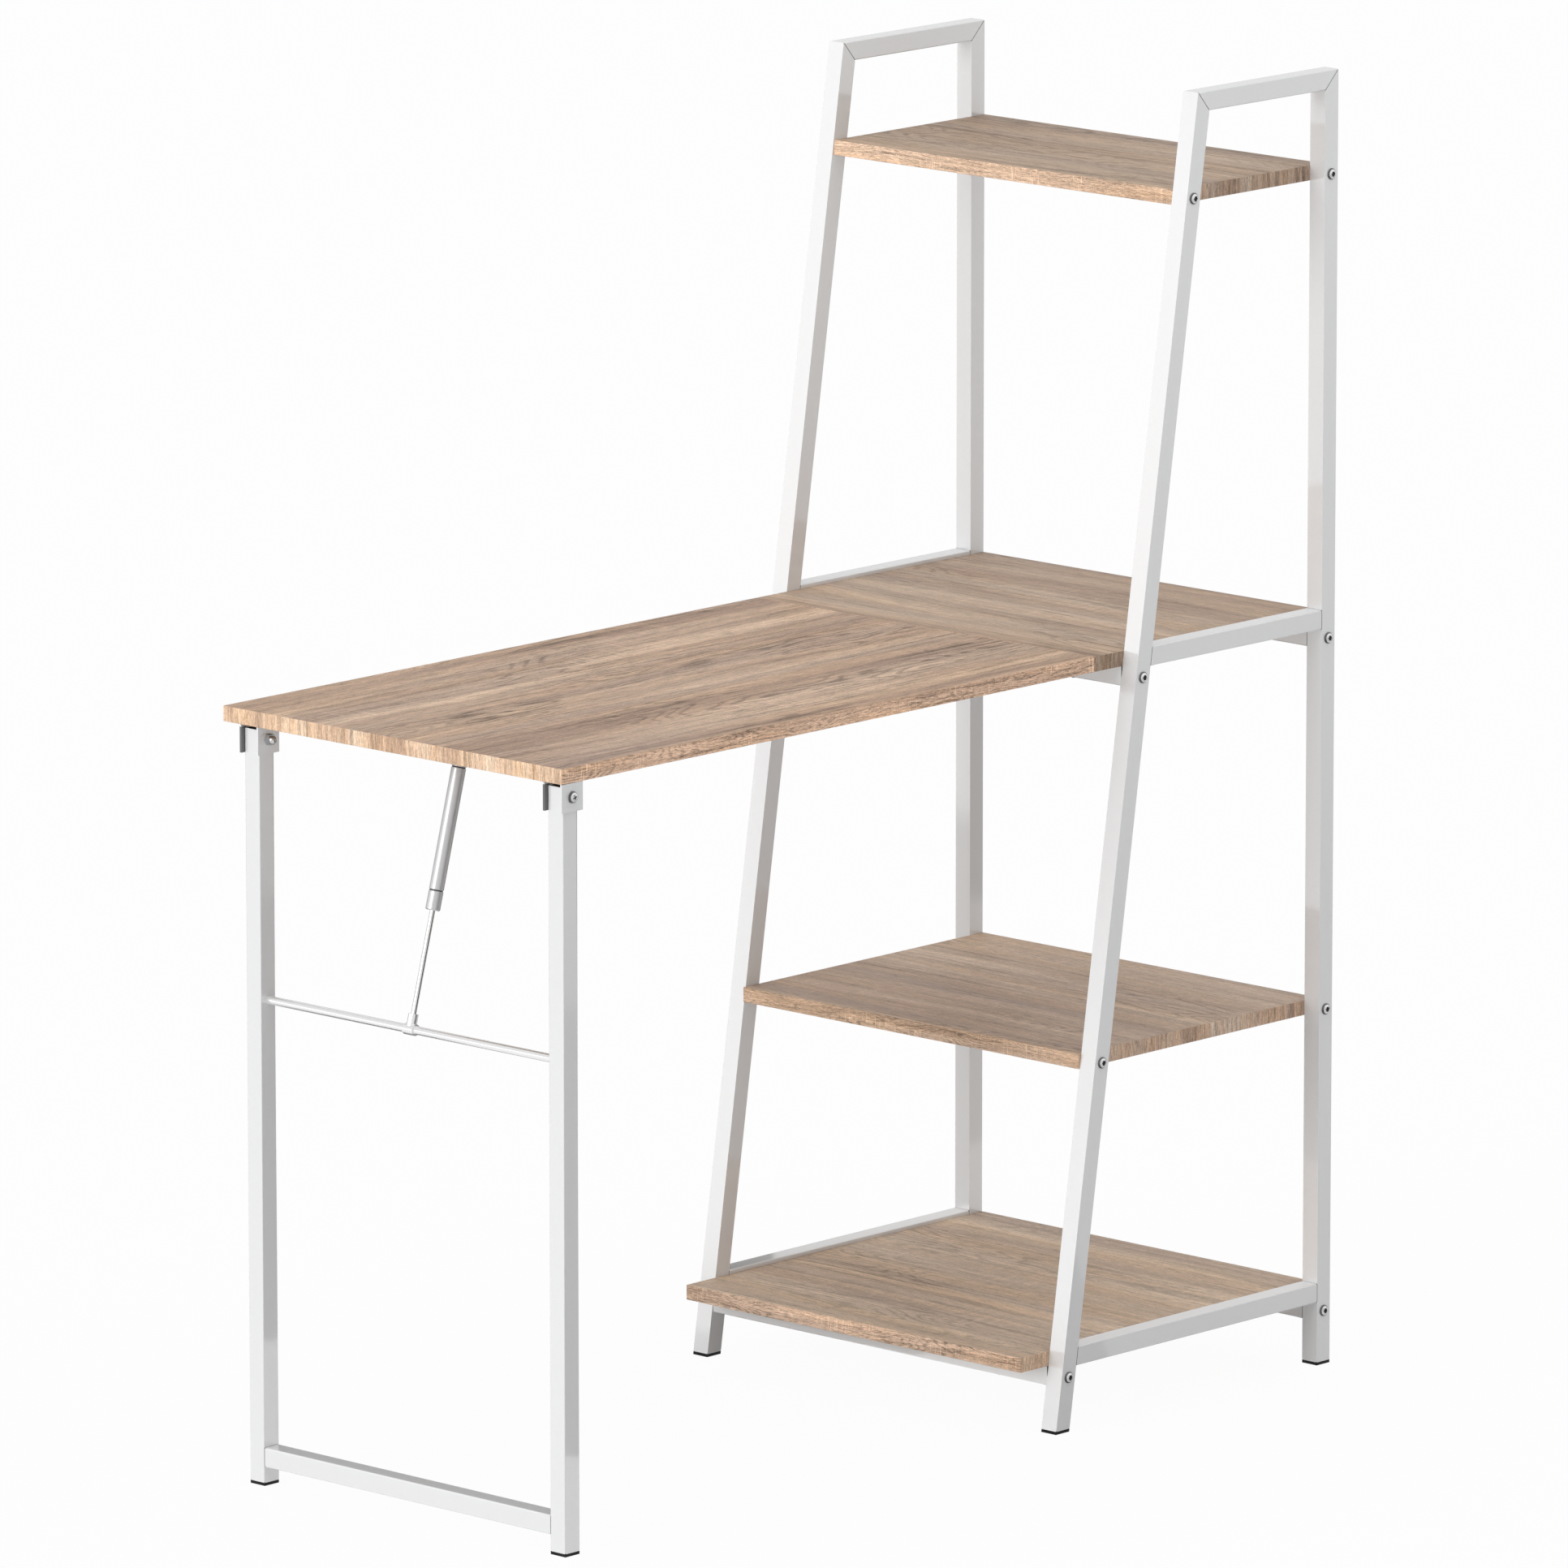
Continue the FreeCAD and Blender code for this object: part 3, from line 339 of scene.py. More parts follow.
def newGroup(name, inputs, outputs):
    group = bpy.data.node_groups.new(name, "ShaderNodeTree")
    for label, kind, value in inputs:
        socket = group.interface.new_socket(label, in_out="INPUT", socket_type=kind)
        if value is not None:
            socket.default_value = value
    for label, kind in outputs:
        group.interface.new_socket(label, in_out="OUTPUT", socket_type=kind)
    start = addNode(group, "NodeGroupInput")
    end = addNode(group, "NodeGroupOutput")
    return group, start.outputs, end.inputs


def newMaterial(name):
    material = bpy.data.materials.new(name)
    material.use_nodes = True
    tree = material.node_tree
    return material, tree, tree.nodes["Principled BSDF"]


def bump(tree, shader, height, distance):
    node = addNode(tree, "ShaderNodeBump")
    feed(tree, node.inputs["Height"], height)
    node.inputs["Distance"].default_value = distance
    feed(tree, shader.inputs["Normal"], node.outputs[0])


# oak laminate: grain runs along the first axis of the group's coordinates, lengths in metres

oakShares = {
    "bend": 0.05,           # how far the grain wanders sideways
    "band": 0.7,            # broad bands of tone
    "drift": 0.3,           # a slower change under them
    "strand": 0.60,         # slim bands a few millimetres wide
    "fleck": 0.50,          # shorter flecks
    "fibre": 1.25,          # one millimetre threads
    "pit": 0.70,            # fine uneven texture
    "streak": 0.24,         # long dark streaks
    "ring": 0.26,           # flames
    "pore": 0.26,
    "saw": 0.22,            # pale marks across the grain
    "darkest": 0.25,        # the least that is left of a tone
    "dull": 0.25,           # roughness added where the grain is dark
    "relief": 0.5,          # height of the fibre
    "brownToTan": (0.38, 0.5),
    "tanToPale": (0.5, 0.62),
    "warm": (1.012, 0.98, 0.935),
    "cool": (0.988, 1.012, 1.05),
}
ringMake = {"across": 330.0, "fold": 190.0, "strand": 7.0}     # radians, the first per metre
flameFade = {"inside": 0.5, "outside": 1.1, "strength": 1.6}   # the first two in shares of the flame's size

# noise layers: repeats per metre along, across and through the grain, window is what a mask keeps
oakLayers = {
    "wander": {"repeats": (1.7, 7.0, 3.0)},
    "band": {"repeats": (1.3, 30.0, 3.0), "detail": 4.0, "roughness": 0.6},
    "drift": {"repeats": (1.1, 9.0, 3.0), "shift": (4.0, 2.0, 7.0)},
    "hue": {"repeats": (1.6, 24.0, 3.0), "shift": (6.0, 4.0, 1.0), "window": (0.36, 0.64)},
    "fold": {"repeats": (2.6, 13.0, 3.0), "shift": (1.0, 5.0, 2.0)},
    "strand": {"repeats": (5.0, 150.0, 150.0), "shift": (2.0, 3.0, 1.0), "detail": 3.0, "roughness": 0.6},
    "patch": {"repeats": (2.8, 10.0, 3.0), "shift": (9.0, 1.0, 3.0), "window": (0.48, 0.62)},
    "streak": {"repeats": (4.0, 95.0, 3.0), "shift": (3.0, 8.0, 1.0), "detail": 3.0, "roughness": 0.6,
               "window": (0.54, 0.72)},
    "fleck": {"repeats": (16.0, 250.0, 250.0), "shift": (5.0, 1.0, 2.0), "detail": 3.0, "roughness": 0.7},
    "pit": {"repeats": (300.0, 800.0, 800.0), "shift": (1.0, 2.0, 5.0), "roughness": 0.6},
    "fibre": {"repeats": (65.0, 750.0, 750.0), "detail": 3.0, "roughness": 0.65},
    "pore": {"repeats": (90.0, 1300.0, 1300.0), "detail": 1.0, "window": (0.6, 0.74)},
    "saw": {"repeats": (420.0, 22.0, 22.0), "detail": 1.0, "window": (0.56, 0.72)},
    "sawPatch": {"repeats": (7.0, 11.0, 3.0), "shift": (2.0, 6.0, 4.0), "window": (0.48, 0.62)},
}


def oakLayer(group, vector, name):
    layer = oakLayers[name]
    place = stretch(group, vector, layer["repeats"], layer.get("shift", (0, 0, 0)))
    value = noise(group, place, layer.get("detail", 2.0), layer.get("roughness", 0.5))
    return remap(group, value, *layer["window"]) if "window" in layer else value


def buildOakGrain(shares):
    group, given, result = newGroup(
        "oakGrain",
        [("Vector", "NodeSocketVector", None),
         ("Pale", "NodeSocketColor", (0.60, 0.45, 0.33, 1)),
         ("Tan", "NodeSocketColor", (0.47, 0.34, 0.25, 1)),
         ("Brown", "NodeSocketColor", (0.36, 0.25, 0.19, 1)),
         ("Flames", "NodeSocketFloat", 1.0),
         ("Flame Center", "NodeSocketVector", (0, 0, 0)),
         ("Flame Size", "NodeSocketVector", (1, 1, 1)),
         ("Saw Marks", "NodeSocketFloat", 1.0),
         ("Contrast", "NodeSocketFloat", 1.0)],
        [("Color", "NodeSocketColor"), ("Roughness", "NodeSocketFloat"), ("Height", "NodeSocketFloat")])
    place = given["Vector"]
    sideStep = addNode(group, "ShaderNodeCombineXYZ")
    wander = oakLayer(group, place, "wander")
    feed(group, sideStep.inputs["Y"], calc(group, "MULTIPLY", wander, shares["bend"]))
    grain = vectorCalc(group, "ADD", place, sideStep.outputs[0])

    # broad bands of tone, warmer and cooler in turn
    tone = total(group, (oakLayer(group, grain, "band"), shares["band"]),
                 (oakLayer(group, grain, "drift"), shares["drift"]))
    color = mixColors(group, remap(group, tone, *shares["brownToTan"]), given["Brown"], given["Tan"])
    color = mixColors(group, remap(group, tone, *shares["tanToPale"]), color, given["Pale"])
    color = mixColors(group, oakLayer(group, grain, "hue"), stretch(group, color, shares["cool"]),
                      stretch(group, color, shares["warm"]))

    # growth rings that fold back on themselves into flames, shown in patches and round the flame's center
    across = addNode(group, "ShaderNodeSeparateXYZ")
    feed(group, across.inputs[0], grain)
    fold = oakLayer(group, place, "fold")
    strand = oakLayer(group, grain, "strand")
    phase = total(group, (across.outputs["Y"], ringMake["across"]), (fold, ringMake["fold"]),
                  (strand, ringMake["strand"]))
    ring = remap(group, calc(group, "SINE", phase), 0.0, 1.0)
    away = vectorCalc(group, "SUBTRACT", place, given["Flame Center"])
    spread = addNode(group, "ShaderNodeVectorMath", operation="LENGTH")
    feed(group, spread.inputs[0], vectorCalc(group, "DIVIDE", away, given["Flame Size"]))
    flame = remap(group, spread.outputs["Value"], flameFade["inside"], flameFade["outside"],
                  flameFade["strength"], 0.0)
    patch = calc(group, "MAXIMUM", oakLayer(group, place, "patch"), flame)
    flames = calc(group, "MULTIPLY", calc(group, "MULTIPLY", ring, patch), given["Flames"])

    # dark streaks and pores, fine fibre, and pale saw marks that cross the grain
    streak = oakLayer(group, grain, "streak")
    fleck = oakLayer(group, grain, "fleck")
    pit = oakLayer(group, place, "pit")
    fibre = oakLayer(group, grain, "fibre")
    pore = oakLayer(group, grain, "pore")
    saw = calc(group, "MULTIPLY", oakLayer(group, place, "saw"), oakLayer(group, place, "sawPatch"))
    saws = calc(group, "MULTIPLY", saw, given["Saw Marks"])

    dark = total(group, (streak, shares["streak"]), (flames, shares["ring"]), (pore, shares["pore"]))
    lit = total(group, (strand, shares["strand"]), (fleck, shares["fleck"]), (fibre, shares["fibre"]),
                (pit, shares["pit"]), (saws, shares["saw"]))
    evenLight = (shares["strand"] + shares["fleck"] + shares["fibre"] + shares["pit"]) / 2
    change = calc(group, "SUBTRACT", calc(group, "SUBTRACT", lit, evenLight), dark)
    factor = calc(group, "ADD", calc(group, "MULTIPLY", change, given["Contrast"]), 1.0)
    factor = calc(group, "MAXIMUM", factor, shares["darkest"])
    relief = calc(group, "MULTIPLY", fibre, shares["relief"])
    feed(group, result["Color"], shadeColor(group, color, factor))
    feed(group, result["Roughness"], calc(group, "MULTIPLY", dark, shares["dull"]))
    feed(group, result["Height"], calc(group, "SUBTRACT", relief, dark))
    return group


oakGrain = buildOakGrain(oakShares)

# how each side of a board lies in the grain: turn in degrees, stretch per axis
grainLay = {
    "leafFace": {"turn": (0, 0, 0), "scale": (1, 1, 1)},
    "leafSide": {"turn": (-90, 0, 0), "scale": (2.4, 2.4, 2.4)},
    "leafEnd": {"turn": (0, 90, 0), "scale": (1, 1.7, 1.6)},
    "shelfFace": {"turn": (0, 0, -90), "scale": (1, 1, 1)},
    "shelfSide": {"turn": (-90, -90, 0), "scale": (2.4, 2.4, 2.4)},
    "shelfEnd": {"turn": (-90, 0, -90), "scale": (1.7, 1, 1.6)},
}
# edge tones, lighter than the faces' tones: painted light on the edges of every board
paintedLightSideTones = {"Pale": (0.94, 0.645, 0.45), "Tan": (0.80, 0.54, 0.37), "Brown": (0.63, 0.415, 0.28)}
paintedLightEndTones = {"Pale": (1.00, 0.75, 0.53), "Tan": (0.89, 0.615, 0.415), "Brown": (0.66, 0.435, 0.29)}
oakTones = {
    "leafFace": {"Pale": (0.68, 0.483, 0.336), "Tan": (0.505, 0.35, 0.247), "Brown": (0.37, 0.25, 0.184)},
    "leafSide": paintedLightSideTones,
    "leafEnd": paintedLightEndTones,
    "shelfFace": {"Pale": (0.62, 0.437, 0.305), "Tan": (0.51, 0.354, 0.249), "Brown": (0.42, 0.286, 0.207)},
    "shelfSide": paintedLightSideTones,
    "shelfEnd": paintedLightEndTones,
}
oakFigure = {
    "leafFace": {"Flames": 1.0, "Saw Marks": 1.0, "Contrast": 1.25},
    "leafSide": {"Flames": 0.7, "Saw Marks": 1.8, "Contrast": 1.7},
    "leafEnd": {"Flames": 0.0, "Saw Marks": 0.4, "Contrast": 1.4},
    "shelfFace": {"Flames": 0.9, "Saw Marks": 1.0, "Contrast": 0.95},
    "shelfSide": {"Flames": 0.7, "Saw Marks": 1.1, "Contrast": 1.8},
    "shelfEnd": {"Flames": 0.0, "Saw Marks": 0.4, "Contrast": 1.5},
}
leafFlame = {"Flame Center": (-0.375, 0.003, 0.75), "Flame Size": (0.095, 0.036, 0.05)}
noFlame = {"Flame Center": (0, 0, -9), "Flame Size": (1, 1, 1)}
oakFinish = {"roughness": 0.50, "gloss": 0.25, "bumpDepth": 0.00016}

# boards: tint of the broad faces, of the edges along the grain and of the edges across it. The tints paint
# light and shade, making each board's faces and edges lighter or darker as light falls on it: lower shelves'
# faces lighter, the desk shelf's ends darker
boards = {
    "folding_leaf": {"body": "leaf", "lay": "leaf", "Face": (1.04, 1.04, 1.04),
                     "Side": (1.14, 1.12, 1.12), "End": (0.94, 0.94, 0.94)},
    "desk_shelf": {"body": "shelf", "lay": "shelf", "Face": (1.01, 1.06, 1.09),
                   "Side": (1.0, 1.0, 1.0), "End": (0.40, 0.39, 0.39)},
    "top_shelf": {"body": "shelf", "lay": "shelf", "Face": (0.83, 0.86, 0.88),
                  "Side": (0.96, 0.98, 0.98), "End": (0.57, 0.59, 0.64)},
    "lower_shelf": {"body": "shelf", "lay": "shelf", "Face": (1.13, 1.21, 1.28),
                    "Side": (0.79, 0.83, 0.86), "End": (0.67, 0.68, 0.73)},
    "bottom_shelf": {"body": "shelf", "lay": "shelf", "Face": (1.21, 1.33, 1.40),
                     "Side": (0.81, 0.84, 0.88), "End": (0.74, 0.76, 0.79)},
}
boardMake = {"arris": 0.0006, "arrisSteps": 2}      # softened edges


def buildOak(name, part, board):
    material, tree, shader = newMaterial(name + part)
    side = board["lay"] + part
    coords = addNode(tree, "ShaderNodeTexCoord")
    mapping = addNode(tree, "ShaderNodeMapping")
    mapping.inputs["Rotation"].default_value = [math.radians(angle) for angle in grainLay[side]["turn"]]
    mapping.inputs["Scale"].default_value = grainLay[side]["scale"]
    feed(tree, mapping.inputs["Vector"], coords.outputs["Object"])
    grain = addNode(tree, "ShaderNodeGroup", node_tree=oakGrain)
    feed(tree, grain.inputs["Vector"], mapping.outputs[0])
    for label, color in oakTones[side].items():
        # the board's tint paints light and shade onto the tone
        toneWithPaintedLight = [value * tint for value, tint in zip(color, board[part])]
        grain.inputs[label].default_value = toneWithPaintedLight + [1]
    flame = leafFlame if side == "leafFace" else noFlame
    for label, value in {**oakFigure[side], **flame}.items():
        grain.inputs[label].default_value = value
    roughness = calc(tree, "ADD", grain.outputs["Roughness"], oakFinish["roughness"])
    feed(tree, shader.inputs["Base Color"], grain.outputs["Color"])
    feed(tree, shader.inputs["Roughness"], roughness)
    shader.inputs["Specular IOR Level"].default_value = oakFinish["gloss"]
    bump(tree, shader, grain.outputs["Height"], oakFinish["bumpDepth"])
    return material


def newPiece(name, bm, materials, body):
    piece = addObject(name, meshOf(bm, name))
    for material in materials:
        piece.data.materials.append(material)
    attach(piece, body)
    return piece


def buildBoard(name, board):
    low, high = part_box(name)
    bm = bmesh.new()
    bmesh.ops.create_cube(bm, size=1)
    bmesh.ops.scale(bm, vec=high - low, verts=bm.verts)
    bmesh.ops.translate(bm, vec=(low + high) / 2, verts=bm.verts)
    grainAxis = 0 if board["lay"] == "leaf" else 1
    for face in bm.faces:
        axis = max(range(3), key=lambda index: abs(face.normal[index]))
        face.material_index = 0 if axis == 2 else 2 if axis == grainAxis else 1
    roundEdges(bm, bm.edges[:], boardMake["arris"], boardMake["arrisSteps"])
    sides = [buildOak(name, part, board) for part in ("Face", "Side", "End")]
    piece = newPiece(name + "_oak", bm, sides, board["body"])
    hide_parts(name)


for name, board in boards.items():
    buildBoard(name, board)
print("oak boards built:", len(boards))

# paint, metal and plastic: a speckle and a faint cloud shared by all of them
mottleMake = {"cloudScale": 4.0, "cloudMiddle": 0.5, "cloudRoughness": 0.1}


def buildMottle(make):
    group, given, result = newGroup(
        "surfaceMottle",
        [("Vector", "NodeSocketVector", None), ("Fine", "NodeSocketFloat", 1500.0),
         ("Speckle", "NodeSocketFloat", 0.05), ("Cloud", "NodeSocketFloat", 0.02)],
        [("Shade", "NodeSocketFloat"), ("Roughness", "NodeSocketFloat"), ("Height", "NodeSocketFloat")])
    fine = noise(group, given["Vector"], scale=given["Fine"])
    broad = noise(group, given["Vector"], detail=1.0, scale=make["cloudScale"])
    loss = total(group, (fine, given["Speckle"]), (broad, given["Cloud"]))
    uneven = calc(group, "SUBTRACT", broad, make["cloudMiddle"])
    feed(group, result["Shade"], calc(group, "SUBTRACT", 1.0, loss))
    feed(group, result["Roughness"], calc(group, "MULTIPLY", uneven, make["cloudRoughness"]))
    feed(group, result["Height"], fine)
    return group


mottle = buildMottle(mottleMake)

# a finish lists what differs from the plain one
plainFinish = {
    "metal": 0.0,
    "coat": 0.0,
    "coatIor": 1.5,
    "coatRoughness": 0.1,
    "edge": 1.0,            # tint of the gloss
    "fine": 1600.0,         # speckles per metre
    "speckle": 0.2,
    "cloud": 0.1,
    "bumpDepth": 0.00001,
}
finishes = {
    "whitePaint": {"color": (0.850, 0.854, 0.861), "roughness": 0.35, "coat": 1.0, "coatIor": 2.2,
                   "coatRoughness": 0.06, "fine": 900.0, "speckle": 0.05, "cloud": 0.02,
                   "bumpDepth": 0.00002},
    "blackPlastic": {"color": (0.008, 0.008, 0.0085), "roughness": 0.5, "edge": 0.25, "fine": 2600.0,
                     "bumpDepth": 0.00003},
    "sealRubber": {"color": (0.012, 0.012, 0.012), "roughness": 0.6, "fine": 1800.0, "bumpDepth": 0.00003},
    "strutSilver": {"color": (0.74, 0.742, 0.75), "metal": 0.5, "roughness": 0.34, "edge": 0.2,
                    "speckle": 0.24, "cloud": 0.04, "bumpDepth": 0.000012},
    "brightBar": {"color": (0.90, 0.90, 0.905), "metal": 0.7, "roughness": 0.22, "coat": 1.0,
                  "coatIor": 2.4, "coatRoughness": 0.08, "speckle": 0.06, "cloud": 0.02,
                  "bumpDepth": 0.000006},
    "chromedRod": {"color": (0.86, 0.86, 0.86), "metal": 1.0, "roughness": 0.12, "edge": 0.2,
                   "fine": 900.0, "speckle": 0.05, "cloud": 0.02, "bumpDepth": 0.000004},
    "zincSteel": {"color": (0.66, 0.66, 0.66), "metal": 1.0, "roughness": 0.26, "edge": 0.25,
                  "speckle": 0.15, "cloud": 0.06},
    "brightZinc": {"color": (0.93, 0.93, 0.93), "metal": 0.25, "roughness": 0.28, "coat": 0.6,
                   "coatIor": 1.8, "coatRoughness": 0.12, "speckle": 0.08, "cloud": 0.03},
    # painted shade on the sides of bolt heads
    "darkZinc": {"color": (0.16, 0.16, 0.16), "metal": 0.7, "roughness": 0.35, "speckle": 0.15,
                 "cloud": 0.06},
    # painted shade in the seams where tubes meet
    "jointGap": {"color": (0.12, 0.12, 0.12), "roughness": 0.7, "fine": 2000.0, "speckle": 0.3,
                 "cloud": 0.2, "bumpDepth": 0.00002},
    # painted shade for the far flange of the leg brackets
    "linerGrey": {"color": (0.19, 0.19, 0.19), "roughness": 0.55, "fine": 1800.0, "bumpDepth": 0.00002},
    # painted shade inside sockets and recesses
    "darkRecess": {"color": (0.012, 0.012, 0.012), "roughness": 0.6, "fine": 2600.0, "speckle": 0.3,
                   "cloud": 0.2},
}


def buildFinish(name, changes):
    finish = {**plainFinish, **changes}
    material, tree, shader = newMaterial(name)
    coords = addNode(tree, "ShaderNodeTexCoord")
    grain = addNode(tree, "ShaderNodeGroup", node_tree=mottle)
    feed(tree, grain.inputs["Vector"], coords.outputs["Object"])
    grain.inputs["Fine"].default_value = finish["fine"]
    grain.inputs["Speckle"].default_value = finish["speckle"]
    grain.inputs["Cloud"].default_value = finish["cloud"]
    roughness = calc(tree, "ADD", grain.outputs["Roughness"], finish["roughness"])
    feed(tree, shader.inputs["Base Color"], shadeColor(tree, finish["color"], grain.outputs["Shade"]))
    feed(tree, shader.inputs["Roughness"], roughness)
    shader.inputs["Metallic"].default_value = finish["metal"]
    shader.inputs["Specular Tint"].default_value = [finish["edge"]] * 3 + [1]
    shader.inputs["Coat Weight"].default_value = finish["coat"]
    shader.inputs["Coat IOR"].default_value = finish["coatIor"]
    shader.inputs["Coat Roughness"].default_value = finish["coatRoughness"]
    bump(tree, shader, grain.outputs["Height"], finish["bumpDepth"])
    return material


looks = {name: buildFinish(name, changes) for name, changes in finishes.items()}
print("finishes built:", len(looks))


def finishOf(name):
    # the finish of a frame node, from its name
    if "foot" in name or name in ("rail_end_plugs", "leg_pivot_bushes"):
        return "blackPlastic"
    if name == "strut_seal":
        return "sealRubber"
    if name in ("strut_cylinder", "strut_end_collar", "strut_top_eye"):
        return "strutSilver"
    if name in ("strut_crossbar", "strut_tee_clip"):
        return "brightBar"
    if name in ("strut_piston_rod", "strut_piston"):
        return "chromedRod"
    if name in ("near_frame_bolts", "far_frame_bolts", "leg_pivot_bolts"):
        return "brightZinc"
    zincWords = ("bolts", "screw", "hinge", "washers", "nuts", "inserts", "pin")
    return "zincSteel" if any(word in name for word in zincWords) else "whitePaint"


for name, node in nodes.items():
    if name not in boards:
        node.data.materials.clear()
        node.data.materials.append(looks[finishOf(name)])
print("frame nodes dressed")

# tubes: copies of the frame's own, with their long outer corners rounded
tubeMake = {"corner": 0.0011, "steps": 3, "shortest": 0.1, "merge": 0.000002}
crossRails = [level + "_cross_rail" for level in ("desk_front", "desk_rear", "bottom_front", "bottom_rear")]
tubeNames = ["leg_bottom_rail", "near_leg", "far_leg"] + crossRails
tubeNames += [side + part for side in ("near", "far")
              for part in ("_rear_post", "_front_post", "_top_rail", "_desk_side_rail", "_bottom_side_rail")]


def buildTube(name):
    bm = bmesh.new()
    bm.from_mesh(nodes[name].data)
    bmesh.ops.remove_doubles(bm, verts=bm.verts, dist=tubeMake["merge"])
    corners = [edge for edge in bm.edges if len(edge.link_faces) == 2 and edge.is_convex
               and edge.calc_length() > tubeMake["shortest"] and edge.calc_face_angle() > sharpAngle]
    roundEdges(bm, corners, tubeMake["corner"], tubeMake["steps"])
    body = "leg_frame" if "leg" in name else "shelf"
    piece = newPiece(name + "_tube", bm, [looks["whitePaint"]], body)
    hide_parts(name)


for name in tubeNames:
    buildTube(name)
print("tubes rounded:", len(tubeNames))

# dark lines where one tube meets another, the painted shade of the seam; thinEdge and inset in shares of the
# thickness
jointLine = {"thickness": 0.0006, "proud": 0.00005, "thinEdge": 1.5, "inset": 0.6}


def addPlate(bm, size, center, turn=0.0):
    # a thin block, turned about Y so that its length follows a leaning tube
    plate = bmesh.new()
    bmesh.ops.create_cube(plate, size=1, matrix=Matrix.Diagonal((*size, 1)))
    longest = min(size) * jointLine["thinEdge"]
    corners = [edge for edge in plate.edges if edge.calc_length() < longest]
    roundEdges(plate, corners, tubeMake["corner"], tubeMake["steps"])
    place = Matrix.Translation(center) @ Matrix.Rotation(turn, 4, "Y")
    bmesh.ops.transform(plate, matrix=place, verts=plate.verts)
    joinInto(bm, plate)


def addLine(bm, start, end, lowY, highY):
    # start and end are (x, z) on a joint that runs through the tube from lowY to highY
    run = Vector((end[0] - start[0], end[1] - start[1]))
    size = (run.length, highY - lowY + 2 * jointLine["proud"], jointLine["thickness"])
    center = Vector(((start[0] + end[0]) / 2, (lowY + highY) / 2, (start[1] + end[1]) / 2))
    addPlate(bm, size, center, -math.atan2(run.y, run.x))


def addRailEnds(bm, name):
    # a line round both ends of a cross rail, kept inside the frame's box
    low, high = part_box(name)
    spread = Vector((jointLine["proud"], 0, jointLine["proud"]))
    low = low - spread
    high = high + spread
    high.x = min(high.x, cadHigh.x)
    for y in (low.y, high.y):
        center = (low + high) / 2
        center.y = y
        addPlate(bm, (high.x - low.x, jointLine["thickness"], high.z - low.z), center)


def addSideJoints(bm, side):
    proud = jointLine["proud"]
    inset = jointLine["thickness"] * jointLine["inset"]
    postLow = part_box(side + "_front_post")[0]
    topLow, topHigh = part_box(side + "_top_rail")
    rearLow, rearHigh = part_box(side + "_rear_post")
    lean = (topLow.x - postLow.x) / (topHigh.z - postLow.z)
    slant = (rearHigh.x - rearLow.x) * math.sqrt(1 + lean * lean)
    mitreX = topLow.x - lean * (topHigh.z - topLow.z) + slant
    crown = topHigh.z - inset
    under = topLow.z - proud
    addLine(bm, (topLow.x + inset, crown), (mitreX + proud, under), topLow.y, topHigh.y)
    addLine(bm, (topHigh.x - inset, crown), (rearLow.x - proud, under), topLow.y, topHigh.y)
    for level in ("_desk_side_rail", "_bottom_side_rail"):
        railLow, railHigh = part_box(side + level)
        low = railLow.z - proud
        high = railHigh.z + proud
        foot = postLow.x + slant + lean * (railLow.z - postLow.z)
        head = foot + lean * (railHigh.z - railLow.z)
        addLine(bm, (foot - lean * proud, low), (head + lean * proud, high), railLow.y, railHigh.y)
        addLine(bm, (rearLow.x, low), (rearLow.x, high), railLow.y, railHigh.y)


def buildShelfJoints():
    bm = bmesh.new()
    for side in ("near", "far"):
        addSideJoints(bm, side)
    for name in crossRails:
        addRailEnds(bm, name)
    newPiece("frame_joint_lines", bm, [looks["jointGap"]], "shelf")


def buildLegJoints():
    bm = bmesh.new()
    addRailEnds(bm, "leg_bottom_rail")
    newPiece("leg_joint_lines", bm, [looks["jointGap"]], "leg_frame")


buildShelfJoints()
buildLegJoints()
print("joint lines built")


# sockets, recesses and skirts of the bolts and screws: dark pieces that paint the shade inside the sockets
# and on the sides of the heads

def looseBoxes(name):
    # low and high corners of each separate solid in a frame node, in the order of the node's mesh
    bm = bmesh.new()
    bm.from_mesh(nodes[name].data)
    bmesh.ops.remove_doubles(bm, verts=bm.verts, dist=weldDistance)
    seen = set()
    boxes = []
    for first in bm.verts:
        if first in seen:
            continue
        seen.add(first)
        reached = [first]
        corners = []
        while reached:
            vert = reached.pop()
            corners.append(vert.co.copy())
            near = {link.other_vert(vert) for link in vert.link_edges} - seen
            seen |= near
            reached.extend(near)
        low = Vector([min(corner[axis] for corner in corners) for axis in range(3)])
        high = Vector([max(corner[axis] for corner in corners) for axis in range(3)])
        boxes.append((low, high))
    bm.free()
    return boxes


def headOf(low, high):
    # crown of a bolt's head, and the way it faces, which is away from the middle
    crown = (low + high) / 2
    outward = Vector((0, -1 if crown.y < 0 else 1, 0))
    crown.y = low.y if crown.y < 0 else high.y
    return crown, outward


socketMake = {"key": 0.0050, "gap": 0.00004, "wall": 0.0002, "depth": 0.0019, "rim": 0.00065, "sunk": 0.0002}
skirtMake = {
    "frame": {"head": 0.0035, "edge": 0.0008, "cover": 0.35},   # cover is the share of the dome that is dark
    "pivot": {"head": 0.0034, "edge": 0.0019, "cover": 0.12},
    "proud": 0.00004,
    "wall": 0.0005,
    "segments": 36,
}


